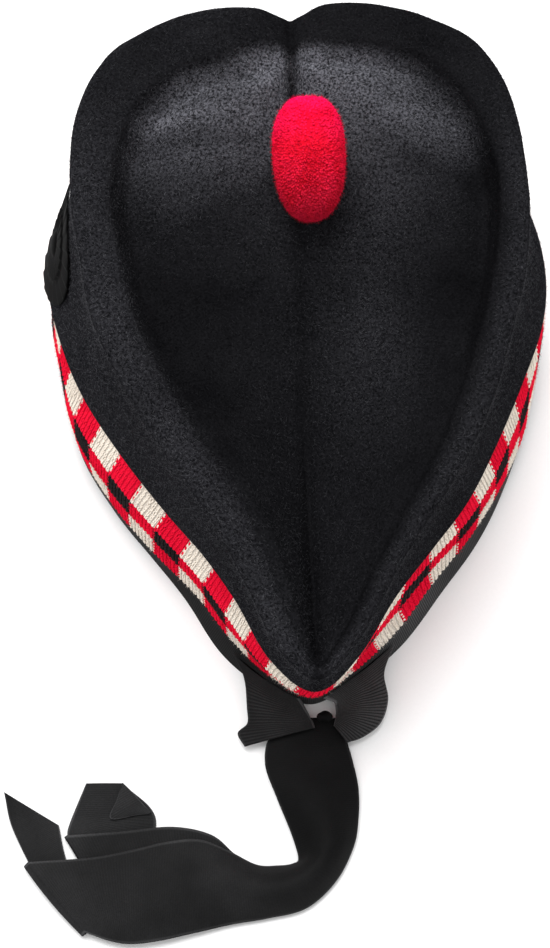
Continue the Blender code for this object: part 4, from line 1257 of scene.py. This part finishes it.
def make_knot(material):
    """The knot: a small twist of ribbon over the tails."""
    low, high = (np.array(corner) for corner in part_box("knot"))
    middle, half = (low + high) / 2 - PLACE, (high - low) / 2
    polar, turn = ball_turns(*KNOT_GRID)
    level = np.sin(polar) * (1 + KNOT_TWIST * np.cos(3 * turn + 4 * polar) * np.sin(polar))
    ball = np.stack([np.cos(polar) + 0 * turn, level * np.cos(turn), level * np.sin(turn)], -1)
    faces = grid_quads(*KNOT_GRID, False, True)
    obj = make_object("knot_ribbon", middle + ball * half, [faces], [material], merge=SMALL_JOIN)
    finish_piece(obj, "ribbon", "knot")


def node_tree(name):
    """A new material, its node tree and its shader."""
    made = bpy.data.materials.new(name)
    made.use_nodes = True
    return made, made.node_tree, made.node_tree.nodes["Principled BSDF"]


def add_node(tree, kind, links, **values):
    """A node of a kind, with sockets linked to its inputs by name and the values of others."""
    node = tree.nodes.new("ShaderNode" + kind)
    for name, value in values.items():
        node.inputs[name].default_value = value
    link_all(tree, node, links)
    return node


def link_all(tree, node, links):
    """Link sockets to a node's inputs by name."""
    for name, socket in links.items():
        tree.links.new(socket, node.inputs[name])


def add_noise(tree, scale, detail, roughness=0.6):
    """A noise texture over the piece's own coordinates, scale in cycles per metre."""
    place = add_node(tree, "TexCoord", {}).outputs["Object"]
    values = {"Scale": scale, "Detail": detail, "Roughness": roughness}
    return add_node(tree, "TexNoise", {"Vector": place}, **values).outputs["Fac"]


def add_ramp(tree, factor, stops):
    """A colour ramp of stops, each a place and a colour or a grey."""
    ramp = add_node(tree, "ValToRGB", {"Fac": factor})
    elements = ramp.color_ramp.elements
    while len(elements) < len(stops):
        elements.new(0.5)
    for element, (place, colour) in zip(elements, stops):
        element.position = place
        element.color = (*colour, 1.0) if isinstance(colour, tuple) else (colour, colour, colour, 1.0)
    return ramp.outputs["Color"]


def add_mix(tree, kind, a, b):
    """Two colours fully mixed in the way named."""
    mix = tree.nodes.new("ShaderNodeMix")
    mix.data_type = "RGBA"
    mix.blend_type = kind
    mix.inputs["Factor"].default_value = 1.0
    link_all(tree, mix, {"A": a, "B": b})
    return mix.outputs["Result"]


def add_bump(tree, shader, height, distance):
    """Bump the shader by a height."""
    node = add_node(tree, "Bump", {"Height": height}, Strength=1.0, Distance=distance)
    link_all(tree, shader, {"Normal": node.outputs["Normal"]})


def add_painted_light(tree):
    """How much light is painted at each point of the mesh, from its painted_light attribute."""
    attribute = tree.nodes.new("ShaderNodeAttribute")
    attribute.attribute_name = "painted_light"
    return attribute.outputs["Fac"]


def cloth_material(name, dark, light, coarse, fine, contrast, roughness, specular, bump_depth):
    """Cloth whose colour wanders between two shades over coarse and fine noise, with roughness and bump."""
    made, tree, shader = node_tree(name)
    broad = add_noise(tree, coarse, 5.0)
    close = add_noise(tree, fine, 5.0, 0.65)
    shade = add_ramp(tree, broad, ((0.32, dark), (0.70, light)))
    grain = add_ramp(tree, close, ((0.32, 1.0 - contrast), (0.68, 1.0 + contrast)))
    colour = add_mix(tree, "MULTIPLY", shade, grain)
    rough = add_ramp(tree, close, ((0.2, roughness - 0.08), (0.8, min(roughness + 0.06, 1.0))))
    link_all(tree, shader, {"Base Color": colour, "Roughness": rough})
    add_bump(tree, shader, close, bump_depth)
    shader.inputs["Specular IOR Level"].default_value = specular
    return made, tree, shader, colour


def pile_material(name, *values):
    """The toorie's wool, with painted shade deeper towards its rear and foot, as its mesh's painted_light
    attribute says.
    """
    made, tree, shader, colour = cloth_material(name, *values)
    shade = add_ramp(tree, add_painted_light(tree), PILE_PAINTED_SHADE)
    link_all(tree, shader, {"Base Color": add_mix(tree, "MULTIPLY", colour, shade)})
    return made


def painted_light_material(name, lit_colour, specks, contrast, patches, drift, *values):
    """Cloth with painted light added to its colour, in specks and broad patches, as much as its mesh's
    painted_light attribute says.
    """
    made, tree, shader, colour = cloth_material(name, *values)
    low, high = (tuple(share * c for c in lit_colour) for share in (1.0 - contrast, 1.0 + contrast))
    lit = add_ramp(tree, add_noise(tree, specks, 4.0, 0.75), ((0.40, low), (0.62, high)))
    share = add_ramp(tree, add_noise(tree, patches, 3.0), ((0.36, 1.0 - drift), (0.64, 1.0 + drift)))
    painted_light = add_mix(tree, "MULTIPLY", add_mix(tree, "MULTIPLY", lit, add_painted_light(tree)), share)
    link_all(tree, shader, {"Base Color": add_mix(tree, "ADD", colour, painted_light)})
    return made


def floor_material():
    """The floor's pale, matt surface."""
    made, tree, shader = node_tree("floor")
    grain = add_noise(tree, 900, 3.0)
    ranges = {"Base Color": (0.86, 0.88), "Roughness": (0.80, 0.86)}
    links = {name: add_ramp(tree, grain, ((0.3, low), (0.7, high))) for name, (low, high) in ranges.items()}
    link_all(tree, shader, links)
    add_bump(tree, shader, grain, 0.00002)
    return made


def make_materials():
    """Every material of the scene by its name."""
    made = {}
    for name, look in LOOKS.items():
        if name in PAINTED_LIGHTS:
            made[name] = painted_light_material(name, *PAINTED_LIGHTS[name], *look)
        elif name.startswith("pile"):
            made[name] = pile_material(name, *look)
        else:
            made[name] = cloth_material(name, *look)[0]
    made["floor"] = floor_material()
    return made


def add_floor(material):
    """The pale surface that the hat stands on."""
    mesh = bpy.data.meshes.new("studio_floor")
    corners = [(x * FLOOR_REACH, y * FLOOR_REACH, 0.0) for x, y in ((-1, -1), (1, -1), (1, 1), (-1, 1))]
    mesh.from_pydata(corners, [], [(0, 1, 2, 3)])
    mesh.materials.append(material)
    add_object("studio_floor", mesh)


def add_light():
    """The wide soft light, and white surroundings."""
    light = bpy.data.lights.new("key_light", "AREA")
    light.shape = "DISK"
    light.size = LIGHT_SIZE
    light.energy = LIGHT_POWER
    obj = add_object("key_light", light)
    obj.location = LIGHT_PLACE
    obj.rotation_euler = (Vector(LIGHT_TARGET) - Vector(LIGHT_PLACE)).to_track_quat("-Z", "Y").to_euler()
    world = bpy.data.worlds.new("studio")
    world.use_nodes = True
    background = world.node_tree.nodes["Background"]
    background.inputs["Color"].default_value = (1.0, 1.0, 1.0, 1.0)
    background.inputs["Strength"].default_value = WORLD_STRENGTH
    bpy.context.scene.world = world


def add_camera():
    """The camera, and a plain view of what it sees."""
    scene = bpy.context.scene
    scene.view_settings.view_transform = "Standard"
    scene.view_settings.look = "None"
    camera = bpy.data.cameras.new("camera")
    camera.lens = CAMERA_LENS
    camera.clip_start = CAMERA_NEAR
    way = Vector(CAMERA_WAY).normalized()
    right = way.cross(Vector(CAMERA_UP)).normalized()
    turn = Matrix((right, right.cross(way), -way)).transposed().to_4x4()
    scene.camera = add_object("camera", camera)
    scene.camera.matrix_world = Matrix.Translation(Vector(PLACE) + Vector(CAMERA_FROM_CAP)) @ turn


def main():
    """Build every piece and its studio."""
    materials = make_materials()
    rings, wall = make_felt(materials["felt"])
    make_nap(rings, wall, materials["nap"])
    make_knit(*([materials[f"{colour}_{kind}"] for colour in COLOURS] for kind in ("yarn", "backing")))
    make_binding(materials["ribbon"])
    make_toorie(materials["pile"], materials["pile_core"])
    make_cockade(materials["cockade"])
    make_ribbons(materials["ribbon"])
    make_knot(materials["ribbon"])
    add_floor(materials["floor"])
    add_light()
    add_camera()


main()
